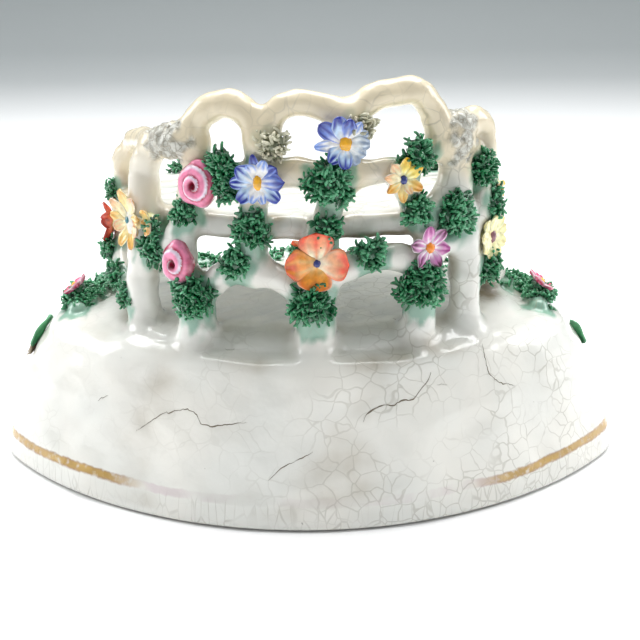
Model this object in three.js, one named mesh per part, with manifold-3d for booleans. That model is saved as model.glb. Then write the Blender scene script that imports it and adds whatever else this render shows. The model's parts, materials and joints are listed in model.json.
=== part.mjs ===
// Porcelain garden bower: one fired piece, in millimetres, +Z up.
// It stands on z = 0 with the middle of its underside at the origin.
// -Y is the outer side of the arcade, and the bench inside opens towards +Y.
import * as THREE from "three";
import { mergeVertices } from "three/addons/utils/BufferGeometryUtils.js";
import Module from "manifold-3d";

const wasm = await Module();
wasm.setup();

const { degToRad, lerp } = THREE.MathUtils;

// Base: an oval mound with a rolled lip
const BASE_SECTORS = 42;
const BASE_HEIGHT = 33;
const OUTLINE_POWER = 1.58; // over 1, so that the long sides come together at a blunt point
const BLUNT_FROM = 0.9; // share of the half width where the point starts to flatten
const BLUNT_BY = 4.3;
const BLUNT_WIDEN = 1.045;
const FOOT_EASE = 0.7;
// Height, half width and half depth of each level of the base's wall
const BASE_LEVELS = [
  [0, 69.3, 39.3],
  [FOOT_EASE, 70, 40],
  [5.5, 69.2, 39.4],
  [11, 66.5, 37.9],
  [20, 63.7, 35.9],
  [25, 60.9, 34.9],
  [30, 57.3, 33.9],
  [BASE_HEIGHT, 54.8, 32.2],
];

// Raised floor under the arcade: height, half width and half depth
const MOUND_SECTORS = 24;
const MOUND_LEVELS = [
  [BASE_HEIGHT - 2, 47.5, 30.3],
  [BASE_HEIGHT + 0.1, 47, 29.9],
  [35, 39.5, 24.4],
  [36.2, 34, 20],
];

// Wall that the arcade stands in: half an ellipse, run on straight towards the front
const WALL_HALF_WIDTH = 40.5;
const WALL_DEPTH = 26.8;
const WALL_LEAN = 0.0006; // share that the wall draws in for each millimetre of height
const SIDE_RUN = 0.47; // millimetres towards the front for each degree past the side
const TUBE_SIDES = 6;
const TUBE_STEP = 6;

// Posts and arches of the arcade. Each point is an angle round the wall in degrees, from the
// middle of its outer side, a height, the tube's radius, and how far it stands off the wall.
const ARCADE = {
  outerLeftPost: [[-107, 32, 3.4], [-105.5, 42, 2.7], [-104, 51, 2.6], [-101, 60, 2.5],
    [-97, 65, 2.4, -0.8], [-90, 69, 2.3, -3.4], [-73, 70.8, 2.3, -5.2], [-57, 71.6, 2.3, -3],
    [-48, 72.2, 2.2, -0.6]],
  leftCross: [[-57, 38, 2.8], [-68, 42, 2.4], [-82, 46, 2.4], [-96, 51, 2.4], [-103, 55, 2.4]],
  leftPost: [[-55.5, 31.5, 3.9], [-55.5, 38, 3.1], [-56, 46, 2.9], [-54, 52, 3.5], [-52.5, 57, 3.8],
    [-51.5, 62, 3.4], [-51.5, 66.5, 2.8], [-46, 71, 2.7], [-38.5, 72.8, 2.7], [-32.5, 72.5, 2.6]],
  leftLink: [[-56, 45, 2.5], [-50, 50, 2.6], [-44, 52.5, 2.8], [-38, 51, 2.5]],
  secondPost: [[-32.5, 31.5, 4.6], [-32, 38, 3.8], [-34, 43, 3.5], [-37, 48.5, 3.3],
    [-37.5, 54, 3], [-33.5, 60, 2.7], [-31, 66.5, 2.6], [-30.5, 70, 2.5], [-32, 73, 2.6]],
  lowArchLeft: [[-32.5, 41, 2.8], [-28, 45.5, 2.7], [-21, 48.3, 2.7], [-14, 48.9, 2.7],
    [-7, 47.5, 2.7], [-1, 44, 2.7], [2, 39.5, 2.7]],
  middleStemLeft: [[-14, 49, 2.9], [-15, 56.8, 2.9], [-13, 65.5, 2.8], [-11.2, 73, 2.7]],
  upperArchLeft: [[-31, 64, 2.6], [-27, 66, 2.7], [-22, 66.8, 2.8], [-13, 65.5, 2.8]],
  upperArchMiddle: [[-13, 65.5, 2.8], [-6, 67.4, 2.8], [0, 67.4, 2.8], [7, 65.6, 2.8]],
  middlePost: [[2, 31.5, 4.9], [2.3, 37, 4.1], [2.7, 43, 3.7], [3.2, 50, 3.3], [5, 56, 2.9],
    [7, 62, 2.7], [8.7, 66, 2.7], [10, 71, 2.6], [10.7, 76, 2.6]],
  lowArchRight: [[2.5, 43.5, 2.7], [7.5, 48, 2.6], [14, 50.3, 2.6], [20, 51, 2.6], [26, 50.8, 2.6],
    [31, 49, 2.6], [35, 45, 2.6]],
  fourthPost: [[33, 32, 4.2], [33, 38, 3.4], [33, 43, 3.2], [35.5, 48.5, 2.9], [36, 52.5, 2.6],
    [33.5, 58, 2.4], [30, 61.5, 2.3], [27.5, 65, 2.4], [23, 67.6, 2.5], [17, 67.2, 2.5],
    [7.5, 65.5, 2.6]],
  fourthLink: [[36, 50, 2.3], [42, 52.5, 2.3], [51, 51, 2.3]],
  crossToRightPost: [[33.5, 57.5, 2.3], [38, 60.5, 2.3], [47, 64, 2.3]],
  crossToRightNode: [[27.5, 65.5, 2.3], [31, 69, 2.3], [37, 70.5, 2.3], [44.5, 72, 2.5]],
  rightPost: [[52.5, 33, 4], [52.3, 39, 3.2], [51.5, 48, 3], [49, 56.3, 3], [46.5, 65, 3],
    [44.7, 73, 3]],
  outerRightPost: [[106, 32, 3.4], [97, 38, 2.7], [80, 43, 2.6], [70, 49, 2.6], [64, 54, 2.5],
    [59, 58, 2.4], [59.5, 62, 2.3], [57, 67, 2.4], [52, 70.5, 2.4], [45, 72.5, 2.4]],
  rightLink: [[51.5, 45, 2.4], [60, 49.5, 2.4], [69, 49.5, 2.4]],
  rightCross: [[51, 53, 2.3], [58, 57.5, 2.3], [68, 57, 2.3]],
  crownOne: [[-32.2, 72.5, 2.6], [-30.4, 76, 2.6], [-26, 78.8, 2.7], [-20.2, 79.6, 2.7],
    [-14.5, 77.8, 2.6], [-11.2, 73.5, 2.6]],
  crownTwo: [[-11.2, 73, 2.6], [-8.9, 77, 2.5], [-4.5, 79.5, 2.4], [0, 80, 2.4], [5, 79.3, 2.4],
    [8.5, 77.8, 2.5], [10.7, 75, 2.6]],
  crownThree: [[10.7, 75, 2.6], [12.8, 78, 2.5], [18.8, 80.6, 2.5], [26.8, 81.8, 2.5],
    [33, 80.5, 2.5], [37, 77.5, 2.5], [39.4, 74.2, 2.6], [43.5, 71.5, 2.6]],
  crownFour: [[44.7, 73, 2.6], [49, 75.2, 2.5], [55, 75.6, 2.4], [60, 74, 2.3], [63, 70.5, 2.2],
    [65, 66, 2.1], [67, 61, 2.1], [69, 56, 2.2], [69, 49, 2.4]],
};

// Bench: a thin slab that fills the arcade and runs out in front of it
const BENCH_UNDERSIDE = 54.3;
const BENCH_THICKNESS = 4.8;
const BENCH_HALF_WIDTH = 40;
const BENCH_BACK = 24.8;
const BENCH_FRONT = 22;
const BENCH_EASE = 1.4;
const BENCH_CORNER_POWER = 5; // high, so that the front is nearly straight between its corners
const BENCH_SECTORS = 24;

// Flowers on the arcade: angle, height, petals, radius, depth of the notches, height stretch
// and how far the flower's back stands off the middle of its tube
const ARCADE_FLOWERS = {
  blueDaisyLeft: [-11.3, 66.4, 8, 5.8, 0.2, 1, 3.1],
  blueDaisyRight: [9.6, 73.6, 8, 5.3, 0.18, 1.05, 3.1],
  orangeFour: [2.7, 51.3, 4, 6.3, 0.34, 1, 3.1],
  yellowSeven: [24.5, 66.3, 7, 4.2, 0.26, 1, 3.1],
  purpleFive: [32.5, 53, 5, 4.3, 0.36, 1, 3.1],
  creamEight: [60, 52.3, 8, 4.6, 0.16, 1, 2.4],
  wornFive: [-53, 57, 5, 5, 0.24, 1.4, 2.8],
  redFive: [-88, 52.5, 5, 4.4, 0.3, 1.1, 1.4],
};
// Rosebuds on the arcade: angle, height, radius, height stretch and stand-off
const ROSES = [
  [-27.8, 65.5, 3.9, 1.1, 2.4],
  [-35, 50, 3.6, 1.35, 2.4],
  [-44, 56.3, 2.6, 1, 2.4],
  [63, 61, 1.7, 1.2, 1.6],
];

// Moss tufts on the arcade: angle, height and size
const MOSS = [
  [-20.6, 69.3, 2.9], [-19.8, 65, 2.5], [-7.7, 72.9, 2.9], [-32.5, 59.6, 2.5], [-13.7, 57.6, 3.6],
  [-17.8, 51, 2.9], [-30.5, 43.7, 4.3], [6.1, 66.3, 4.2], [5.5, 57.6, 2.8], [1.4, 43.3, 4.3],
  [13.4, 75.8, 2.6], [29.1, 70.3, 3.3], [29.7, 60.3, 2.9], [42.5, 58.8, 4], [16.6, 52.9, 3],
  [31.6, 45.5, 4.6], [54, 66.5, 3.1], [62, 57.8, 2.5], [60, 46, 3.3], [-45, 51.5, 2.6],
  [-84, 47, 2.5], [-70, 43.5, 2.5], [-60, 40.3, 2.4], [-99, 58.5, 2.1],
];
const MOSS_LIFT = 2;
const TUFT_SIDES = 5;
const BENCH_MOSS = [-30, -11, 10, 29]; // along the bench's front edge
const BENCH_MOSS_SIZE = 2.4;

// Bank of moss on the far rim of the base: a ridge from corner to corner round the front
const BANK_HALF_WIDTH = 51.3;
const BANK_DEPTH = 29.6;
const BANK_START = -16; // degrees, a little behind the middle of each end
const BANK_TOP = 37.2;
const BANK_THICKNESS = 6.4;
const BANK_STATIONS = 26;
// Flowers on the bank: place along it from its right end to its left, petals and radius
const BANK_FLOWERS = [
  [0.08, 5, 3.4],
  [0.27, 6, 4.2],
  [0.5, 5, 4.8],
  [0.72, 7, 4],
];
// Leaves on the base's sides and front slope: bearing from +X, height, length and turn
const LEAVES = [
  [9, 25, 6.5, 60],
  [181, 27, 9, -50],
  [38, 27, 9, 40],
  [74, 26.5, 9, -25],
  [106, 26.5, 9, 25],
  [142, 27, 9, -40],
];
const LEAF_WIDTH = 4.4;
const LEAF_THICKNESS = 1.3;

// A closed body through rings of points, each end closed by a fan.
function loft(rings) {
  const count = rings[0].length;
  const points = rings.flat();
  const middle = (ring) =>
    ring.reduce((sum, p) => sum.add(p), new THREE.Vector3()).divideScalar(count);
  points.push(middle(rings[0]), middle(rings.at(-1)));
  const triangles = [];
  for (let r = 0; r < rings.length - 1; r++) {
    for (let i = 0; i < count; i++) {
      const a = r * count + i;
      const b = r * count + ((i + 1) % count);
      triangles.push(a, b, b + count, a, b + count, a + count);
    }
  }
  const last = (rings.length - 1) * count;
  for (let i = 0; i < count; i++) {
    const next = (i + 1) % count;
    triangles.push(points.length - 2, next, i);
    triangles.push(points.length - 1, last + i, last + next);
  }
  const geometry = new THREE.BufferGeometry().setFromPoints(points);
  geometry.setIndex(triangles);
  return geometry;
}

// The solid of a closed geometry, facing out.
function solid(geometry) {
  geometry.deleteAttribute("normal");
  geometry.deleteAttribute("uv");
  const merged = mergeVertices(geometry, 1e-4);
  const vertProperties = new Float32Array(merged.attributes.position.array);
  const triVerts = new Uint32Array(merged.index.array);
  const made = new wasm.Manifold(new wasm.Mesh({ numProp: 3, vertProperties, triVerts }));
  if (made.volume() > 0) return made;
  triVerts.reverse();
  return new wasm.Manifold(new wasm.Mesh({ numProp: 3, vertProperties, triVerts }));
}

// The base's outline: an oval drawn to a point at each end, with the point blunted.
function baseOutline(turn, halfWidth, halfDepth) {
  const across = Math.cos(turn);
  const s = Math.sin(turn);
  const over = Math.max(0, Math.abs(across) - BLUNT_FROM);
  const blunted = Math.sign(across) * (Math.abs(across) - BLUNT_BY * over ** 2);
  const along = Math.sign(s) * Math.abs(s) ** OUTLINE_POWER;
  return new THREE.Vector2(halfWidth * BLUNT_WIDEN * blunted, halfDepth * along);
}

function ringOf(count, point) {
  return Array.from({ length: count }, (_, i) => point((i / count) * 2 * Math.PI));
}

function base() {
  return loft(
    BASE_LEVELS.map(([height, halfWidth, halfDepth]) =>
      ringOf(BASE_SECTORS, (turn) => {
        const p = baseOutline(turn, halfWidth, halfDepth);
        return new THREE.Vector3(p.x, p.y, height);
      }),
    ),
  );
}

function mound() {
  return loft(
    MOUND_LEVELS.map(([height, halfWidth, halfDepth]) =>
      ringOf(
        MOUND_SECTORS,
        (turn) =>
          new THREE.Vector3(halfWidth * Math.cos(turn), halfDepth * Math.sin(turn), height),
      ),
    ),
  );
}

// A point of the arcade's wall, and the wall's outward direction there.
function wallPoint(angle, height, outward = 0) {
  const lean = 1 - WALL_LEAN * (height - BASE_HEIGHT);
  const a = WALL_HALF_WIDTH * lean + outward;
  const b = WALL_DEPTH * lean + outward;
  const turn = degToRad(angle);
  if (Math.abs(angle) > 90) {
    const run = (Math.abs(angle) - 90) * SIDE_RUN;
    return new THREE.Vector3(Math.sign(angle) * a, run, height);
  }
  return new THREE.Vector3(a * Math.sin(turn), -b * Math.cos(turn), height);
}

function wallNormal(angle) {
  const turn = degToRad(Math.max(-90, Math.min(90, angle)));
  return new THREE.Vector3(
    Math.sin(turn) / WALL_HALF_WIDTH,
    -Math.cos(turn) / WALL_DEPTH,
    0,
  ).normalize();
}

// A hand-rolled tube along the wall, its radius changing from point to point.
function tube(path) {
  const curve = new THREE.CatmullRomCurve3(
    path.map(([angle, height, , outward]) => wallPoint(angle, height, outward)),
    false,
    "centripetal",
  );
  const spans = path.length - 1;
  const rings = [];
  for (let span = 0; span < spans; span++) {
    const from = path[span];
    const to = path[span + 1];
    const length = curve.getPoint(span / spans).distanceTo(curve.getPoint((span + 1) / spans));
    const steps = Math.max(1, Math.round(length / TUBE_STEP));
    const stops = span === spans - 1 ? steps + 1 : steps;
    for (let i = 0; i < stops; i++) {
      const share = i / steps;
      const t = (span + share) / spans;
      const radius = lerp(from[2], to[2], share);
      const along = curve.getTangent(t);
      const out = wallNormal(lerp(from[0], to[0], share));
      const side = along.clone().cross(out).normalize();
      const up = side.clone().cross(along);
      const middle = curve.getPoint(t);
      rings.push(
        ringOf(TUBE_SIDES, (turn) =>
          middle
            .clone()
            .addScaledVector(side, radius * Math.cos(turn))
            .addScaledVector(up, radius * Math.sin(turn)),
        ),
      );
    }
  }
  return loft(rings);
}

// The bench's outline: round at the back, along the wall, and nearly straight in front.
function benchOutline(turn, inset) {
  const c = Math.cos(turn);
  const s = Math.sin(turn);
  const halfWidth = BENCH_HALF_WIDTH - inset;
  if (s < 0) {
    return new THREE.Vector2(halfWidth * c, (BENCH_BACK - inset) * s);
  }
  const power = 2 / BENCH_CORNER_POWER;
  return new THREE.Vector2(
    Math.sign(c) * halfWidth * Math.abs(c) ** power,
    (BENCH_FRONT - inset) * s ** power,
  );
}

function bench() {
  const top = BENCH_UNDERSIDE + BENCH_THICKNESS;
  const levels = [
    [BENCH_UNDERSIDE, BENCH_EASE],
    [BENCH_UNDERSIDE + BENCH_EASE, 0],
    [top - BENCH_EASE, 0],
    [top, BENCH_EASE],
  ];
  return loft(
    levels.map(([height, inset]) =>
      ringOf(BENCH_SECTORS, (turn) => {
        const p = benchOutline(turn, inset);
        return new THREE.Vector3(p.x, p.y, height);
      }),
    ),
  );
}

// Frame with its Z axis along a direction and its Y axis as near upright as can be.
function frameAt(place, out) {
  const right = new THREE.Vector3(0, 0, 1).cross(out).normalize();
  const up = out.clone().cross(right);
  return new THREE.Matrix4().makeBasis(right, up, out).setPosition(place);
}

// A cupped flower with a round boss, its back sunk into what carries it.
function flower(petals, radius, notch, stretch = 1) {
  const perPetal = petals > 4 ? 2 : 4;
  const outline = (scale, height) =>
    ringOf(petals * perPetal, (turn) => {
      const lobe = 0.5 + 0.5 * Math.cos(turn * petals);
      const reach = radius * scale * (1 - notch * (1 - lobe ** 0.6));
      return new THREE.Vector3(
        reach * Math.cos(turn),
        reach * Math.sin(turn) * stretch,
        height,
      );
    });
  const disc = (scale, height) =>
    ringOf(
      petals * perPetal,
      (turn) =>
        new THREE.Vector3(
          radius * scale * Math.cos(turn),
          radius * scale * Math.sin(turn) * stretch,
          height,
        ),
    );
  return loft([
    disc(0.4, -2.6),
    outline(0.96, 0),
    outline(1, 0.9),
    disc(0.28, 1.2),
  ]);
}

// A rosebud: a round body with a shallow spiral of petals.
function rose(radius, stretch) {
  const sides = 8;
  const levels = [
    [0.55, -2.4],
    [1, 0.2],
    [0.8, 0.8],
    [0.4, 1.1],
  ];
  return loft(
    levels.map(([scale, height], level) =>
      ringOf(sides, (turn) => {
        const wave = 1 + 0.07 * Math.cos(3 * turn + level);
        return new THREE.Vector3(
          radius * scale * wave * Math.cos(turn),
          radius * scale * wave * Math.sin(turn) * stretch,
          height > 0 ? height * radius * 0.75 : height,
        );
      }),
    ),
  );
}

// A tuft of moss: a rough dome, its lower half sunk into what carries it.
function tuft(size, seed) {
  const levels = [
    [0.5, -0.75],
    [1, 0],
    [0.72, 0.62],
  ];
  return loft(
    levels.map(([scale, height], level) =>
      ringOf(TUFT_SIDES, (turn) => {
        const rough = 1 + 0.12 * Math.sin(2.3 * turn + seed + 2 * level);
        return new THREE.Vector3(
          size * scale * rough * Math.cos(turn),
          size * scale * rough * Math.sin(turn),
          size * height,
        );
      }),
    ),
  );
}

// The moss bank: a ridge whose top and outer face swell and sink along the rim.
function bankPoint(share) {
  const turn = degToRad(lerp(BANK_START, 180 - BANK_START, share));
  const p = baseOutline(turn, BANK_HALF_WIDTH, BANK_DEPTH);
  return new THREE.Vector3(p.x, p.y, BASE_HEIGHT);
}

function bank() {
  const rings = [];
  for (let i = 0; i <= BANK_STATIONS; i++) {
    const share = i / BANK_STATIONS;
    const place = bankPoint(share);
    const ahead = bankPoint(Math.min(1, share + 0.01));
    const behind = bankPoint(Math.max(0, share - 0.01));
    const along = ahead.sub(behind).normalize();
    const out = new THREE.Vector3(along.y, -along.x, 0);
    const fade = Math.min(1, 0.55 + 6 * Math.min(share, 1 - share));
    const swell = 1 + 0.1 * Math.sin(i * 2.2) + 0.06 * Math.sin(i * 1.1 + 1);
    const half = (BANK_THICKNESS / 2) * (0.8 + 0.2 * fade) * swell;
    const rise = (BANK_TOP - BASE_HEIGHT) * fade * swell;
    const at = (side, height) =>
      place
        .clone()
        .addScaledVector(out, side * half)
        .setZ(BASE_HEIGHT + height);
    rings.push([
      at(-0.8, -2.5),
      at(1, -4),
      at(1.35, -0.6),
      at(0.9, rise * 0.75),
      at(0.1, rise),
      at(-0.75, rise * 0.75),
    ]);
  }
  return loft(rings);
}

// Half width and half depth of the base's wall at a height.
function wallSizeAt(height) {
  const above = BASE_LEVELS.findIndex((level) => level[0] >= height);
  const [lowHeight, lowWidth, lowDepth] = BASE_LEVELS[above - 1];
  const [highHeight, highWidth, highDepth] = BASE_LEVELS[above];
  const share = (height - lowHeight) / (highHeight - lowHeight);
  return [lerp(lowWidth, highWidth, share), lerp(lowDepth, highDepth, share)];
}

// A pointed leaf pressed on to the base's wall.
function leaf([bearing, height, length, spin]) {
  const wallAt = (turn, level) => {
    const p = baseOutline(turn, ...wallSizeAt(level));
    return new THREE.Vector3(p.x, p.y, level);
  };
  const turn = degToRad(bearing);
  const place = wallAt(turn, height);
  const across = wallAt(turn + 0.02, height).sub(wallAt(turn - 0.02, height));
  const rising = wallAt(turn, height + 1).sub(wallAt(turn, height - 1));
  const out = across.cross(rising).normalize();
  const shape = (inset, lift) =>
    ringOf(6, (t) => {
      const pointed = Math.abs(Math.sin(t)) ** 1.3 * Math.sign(Math.sin(t));
      return new THREE.Vector3(
        (length / 2 - inset) * Math.cos(t),
        (LEAF_WIDTH / 2 - inset) * pointed,
        lift,
      );
    });
  const geometry = loft([shape(0.6, -1.2), shape(0, 0.2), shape(0.5, LEAF_THICKNESS)]);
  geometry.rotateZ(degToRad(spin));
  return geometry.applyMatrix4(frameAt(place, out));
}

function arcadeFlowers() {
  return Object.values(ARCADE_FLOWERS).map(
    ([angle, height, petals, radius, notch, stretch, lift]) =>
      flower(petals, radius, notch, stretch).applyMatrix4(
        frameAt(wallPoint(angle, height, lift), wallNormal(angle)),
      ),
  );
}

function roses() {
  return ROSES.map(([angle, height, radius, stretch, lift]) =>
    rose(radius, stretch).applyMatrix4(
      frameAt(wallPoint(angle, height, lift), wallNormal(angle)),
    ),
  );
}

function arcadeMoss() {
  return MOSS.map(([angle, height, size], i) => {
    const place = wallPoint(angle, height, MOSS_LIFT);
    return tuft(size, i).applyMatrix4(frameAt(place, wallNormal(angle)));
  });
}

function benchMoss() {
  const top = BENCH_UNDERSIDE + BENCH_THICKNESS;
  return BENCH_MOSS.map((x, i) => tuft(BENCH_MOSS_SIZE, i + 40).translate(x, BENCH_FRONT - 1, top));
}

function bankFlowers() {
  return BANK_FLOWERS.map(([share, petals, radius]) => {
    const place = bankPoint(share).setZ(BANK_TOP - 0.4);
    const out = new THREE.Vector3(place.x / BANK_HALF_WIDTH, place.y / BANK_DEPTH, 1.3);
    return flower(petals, radius, 0.28).applyMatrix4(frameAt(place, out.normalize()));
  });
}

const bodies = [
  base(),
  mound(),
  bench(),
  bank(),
  ...Object.values(ARCADE).map(tube),
  ...arcadeFlowers(),
  ...roses(),
  ...arcadeMoss(),
  ...benchMoss(),
  ...bankFlowers(),
  ...LEAVES.map(leaf),
];
const bowerSolid = bodies.map(solid).reduce((whole, piece) => whole.add(piece));

const made = bowerSolid.getMesh();
const bowerGeometry = new THREE.BufferGeometry();
bowerGeometry.setAttribute("position", new THREE.BufferAttribute(made.vertProperties, 3));
bowerGeometry.setIndex(new THREE.BufferAttribute(made.triVerts, 1));
bowerGeometry.computeVertexNormals();

const glaze = new THREE.MeshStandardMaterial({ color: 0xe6e2d6, roughness: 0.22, metalness: 0 });
const bower = new THREE.Mesh(bowerGeometry, glaze);
bower.name = "porcelain_bower";

const group = new THREE.Group();
group.add(bower);
export default group;
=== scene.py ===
import json
import math

import bpy
import numpy as np
from mathutils import Matrix, Vector

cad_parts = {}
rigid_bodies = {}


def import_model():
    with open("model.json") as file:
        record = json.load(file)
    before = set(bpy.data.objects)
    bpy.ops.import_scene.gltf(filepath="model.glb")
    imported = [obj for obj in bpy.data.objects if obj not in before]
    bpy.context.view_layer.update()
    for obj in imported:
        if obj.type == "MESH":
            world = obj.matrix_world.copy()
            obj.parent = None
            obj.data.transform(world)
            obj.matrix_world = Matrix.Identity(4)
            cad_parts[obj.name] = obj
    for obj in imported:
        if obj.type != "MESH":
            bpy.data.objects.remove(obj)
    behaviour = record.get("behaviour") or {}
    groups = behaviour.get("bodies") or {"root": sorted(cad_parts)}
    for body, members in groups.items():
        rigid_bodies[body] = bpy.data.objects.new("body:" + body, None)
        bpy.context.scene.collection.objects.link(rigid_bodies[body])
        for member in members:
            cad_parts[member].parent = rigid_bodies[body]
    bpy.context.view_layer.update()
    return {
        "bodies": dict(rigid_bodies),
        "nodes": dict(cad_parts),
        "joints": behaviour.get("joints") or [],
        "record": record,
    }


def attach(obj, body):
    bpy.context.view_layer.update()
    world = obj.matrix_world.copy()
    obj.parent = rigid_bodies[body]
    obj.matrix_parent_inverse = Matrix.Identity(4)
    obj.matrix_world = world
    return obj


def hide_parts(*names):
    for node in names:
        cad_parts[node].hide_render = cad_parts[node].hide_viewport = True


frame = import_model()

MM = 0.001  # the script works in millimetres, and meshes are made in metres

# ---------------------------------------------------------------- camera, floor and light

CAMERA_PLACE = (2.54, -185.42, 98.59)
CAMERA_PITCH = 20.52  # degrees below level
CAMERA_ROLL = -0.48
CAMERA_LENS = 49.56
IMAGE_SIZE = 640
FOCAL_PIXELS = CAMERA_LENS / 36 * IMAGE_SIZE


def camera_axes():
    pitch = math.radians(CAMERA_PITCH)
    roll = math.radians(CAMERA_ROLL)
    forward = Vector((0, math.cos(pitch), -math.sin(pitch)))
    side = Vector((1, 0, 0))
    upright = Vector((0, math.sin(pitch), math.cos(pitch)))
    right = side * math.cos(roll) + upright * math.sin(roll)
    up = -side * math.sin(roll) + upright * math.cos(roll)
    return right, up, forward


def make_camera():
    right, up, forward = camera_axes()
    data = bpy.data.cameras.new("camera")
    data.lens = CAMERA_LENS
    data.sensor_width = 36
    data.clip_start = 0.01
    camera = bpy.data.objects.new("camera", data)
    turn = Matrix((right, up, -forward)).transposed().to_4x4()
    camera.matrix_world = Matrix.Translation(Vector(CAMERA_PLACE) * MM) @ turn
    bpy.context.scene.collection.objects.link(camera)
    bpy.context.scene.camera = camera


# ---------------------------------------------------------------- small helpers


def smoothstep(low, high, value):
    t = np.clip((value - low) / (high - low), 0, 1)
    return t * t * (3 - 2 * t)


def waves(points, size, seed, count=14):
    """Soft noise of about unit spread, made of plane waves about `size` millimetres long."""
    rng = np.random.default_rng(seed)
    ways = rng.normal(size=(count, 3))
    ways /= np.linalg.norm(ways, axis=1)[:, None]
    ways *= 2 * math.pi / size * rng.uniform(0.55, 1.6, (count, 1))
    phase = rng.uniform(0, 2 * math.pi, count)
    return np.sin(points @ ways.T + phase).sum(axis=1) / math.sqrt(count / 2)


def smooth_min(a, b, blend):
    share = np.maximum(blend - np.abs(a - b), 0) / blend
    return np.minimum(a, b) - share * share * (blend / 4)


def smooth_max(a, b, blend):
    return -smooth_min(-a, -b, blend)


def new_mesh(name, points, quads=None, tris=None, colours=None, floats=None):
    """A smooth-shaded mesh object from arrays, with its colours and numbers as attributes."""
    faces = [f for f in (quads, tris) if f is not None and len(f)]
    loops = np.concatenate([f.ravel() for f in faces]).astype(np.int32)
    sizes = np.concatenate([np.full(len(f), f.shape[1]) for f in faces])
    starts = np.concatenate([[0], np.cumsum(sizes)[:-1]]).astype(np.int32)
    mesh = bpy.data.meshes.new(name)
    mesh.vertices.add(len(points))
    mesh.vertices.foreach_set("co", (np.asarray(points, np.float64) * MM).ravel())
    mesh.loops.add(len(loops))
    mesh.loops.foreach_set("vertex_index", loops)
    mesh.polygons.add(len(sizes))
    mesh.polygons.foreach_set("loop_start", starts)
    mesh.update(calc_edges=True)
    mesh.validate()
    mesh.shade_smooth()
    set_attributes(mesh, colours, floats)
    piece = bpy.data.objects.new(name, mesh)
    bpy.context.scene.collection.objects.link(piece)
    return piece


def set_attributes(mesh, colours=None, floats=None):
    for key, values in (colours or {}).items():
        layer = mesh.attributes.new(key, "FLOAT_COLOR", "POINT")
        rgba = np.ones((len(values), 4), np.float32)
        rgba[:, :3] = values
        layer.data.foreach_set("color", rgba.ravel())
    for key, values in (floats or {}).items():
        layer = mesh.attributes.new(key, "FLOAT", "POINT")
        layer.data.foreach_set("value", np.asarray(values, np.float32))


class Shader:
    """A material under construction, with short calls for the nodes it needs."""

    def __init__(self, name):
        self.material = bpy.data.materials.new(name)
        self.material.use_nodes = True
        self.tree = self.material.node_tree
        self.surface = next(n for n in self.tree.nodes if n.type == "BSDF_PRINCIPLED")
        self.place = self.node("ShaderNodeTexCoord").outputs["Object"]

    def node(self, kind, **settings):
        made = self.tree.nodes.new(kind)
        for key, value in settings.items():
            setattr(made, key, value)
        return made

    def put(self, socket, value):
        if isinstance(value, bpy.types.NodeSocket):
            self.tree.links.new(value, socket)
        elif isinstance(value, (tuple, list)) and len(socket.default_value) == 4:
            socket.default_value = (*value[:3], 1)
        else:
            socket.default_value = value

    def set(self, **values):
        for key, value in values.items():
            self.put(self.surface.inputs[key.replace("_", " ")], value)

    def attribute(self, name, output="Fac"):
        return self.node("ShaderNodeAttribute", attribute_name=name).outputs[output]

    def math(self, operation, a, b=0.0, clamp=False):
        made = self.node("ShaderNodeMath", operation=operation, use_clamp=clamp)
        self.put(made.inputs[0], a)
        self.put(made.inputs[1], b)
        return made.outputs[0]

    def span(self, value, low, high, out_low=0.0, out_high=1.0):
        made = self.node("ShaderNodeMapRange", interpolation_type="SMOOTHSTEP")
        for socket, number in zip(made.inputs, (value, low, high, out_low, out_high)):
            self.put(socket, number)
        return made.outputs[0]

    def mix(self, share, a, b, how="MIX"):
        made = self.node("ShaderNodeMix", data_type="RGBA", blend_type=how)
        self.put(made.inputs[0], share)
        self.put(made.inputs[6], a)
        self.put(made.inputs[7], b)
        return made.outputs[2]

    def stretched(self, scale):
        made = self.node("ShaderNodeVectorMath", operation="MULTIPLY")
        self.put(made.inputs[0], self.place)
        made.inputs[1].default_value = scale
        return made.outputs[0]

    def noise(self, size, detail=2.0, where=None, output="Fac"):
        """Noise whose soft blobs are about `size` millimetres across."""
        made = self.node("ShaderNodeTexNoise")
        self.put(made.inputs["Vector"], where or self.place)
        made.inputs["Scale"].default_value = 1 / (size * MM)
        made.inputs["Detail"].default_value = detail
        return made.outputs[output]

    def cells(self, size, where=None):
        """Distance to the edges of cells about `size` millimetres across, 0 on an edge."""
        made = self.node("ShaderNodeTexVoronoi", feature="DISTANCE_TO_EDGE")
        self.put(made.inputs["Vector"], where or self.place)
        made.inputs["Scale"].default_value = 1 / (size * MM)
        return made.outputs["Distance"]

    def bump(self, height, distance, below=None):
        """Bump of a height from 0 to 1 that stands for `distance` millimetres."""
        made = self.node("ShaderNodeBump")
        made.inputs["Distance"].default_value = distance * MM
        self.put(made.inputs["Height"], height)
        if below is not None:
            self.put(made.inputs["Normal"], below)
        return made.outputs[0]


# ---------------------------------------------------------------- shapes shared with the CAD

OUTLINE_POWER = 1.58
BLUNT_FROM = 0.9
BLUNT_BY = 4.3
BLUNT_WIDEN = 1.045
BASE_HALF_WIDTH = 70
BASE_HALF_DEPTH = 40
BASE_HEIGHT = 33
BASE_LEVELS = np.array([
    [-2, 69.3, 39.3], [0, 69.4, 39.4], [0.8, 70, 40], [5.2, 69.3, 39.5], [7, 68.4, 38.9],
    [11, 66.5, 37.9], [20, 63.7, 35.9], [25, 61.1, 34.9], [30, 57.9, 33.9], [33, 55.6, 32.8],
    [36, 54.6, 32]])
MOUND_HALF_WIDTH = 47.5
MOUND_HALF_DEPTH = 29.6
MOUND_PROFILE = np.array([  # share of the half sizes, rise over the base's top
    [0, 3.4], [0.7, 3.4], [0.8, 3.1], [0.87, 2.5], [0.94, 1.3], [0.98, 0.4], [1.03, 0], [3, 0]])

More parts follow.
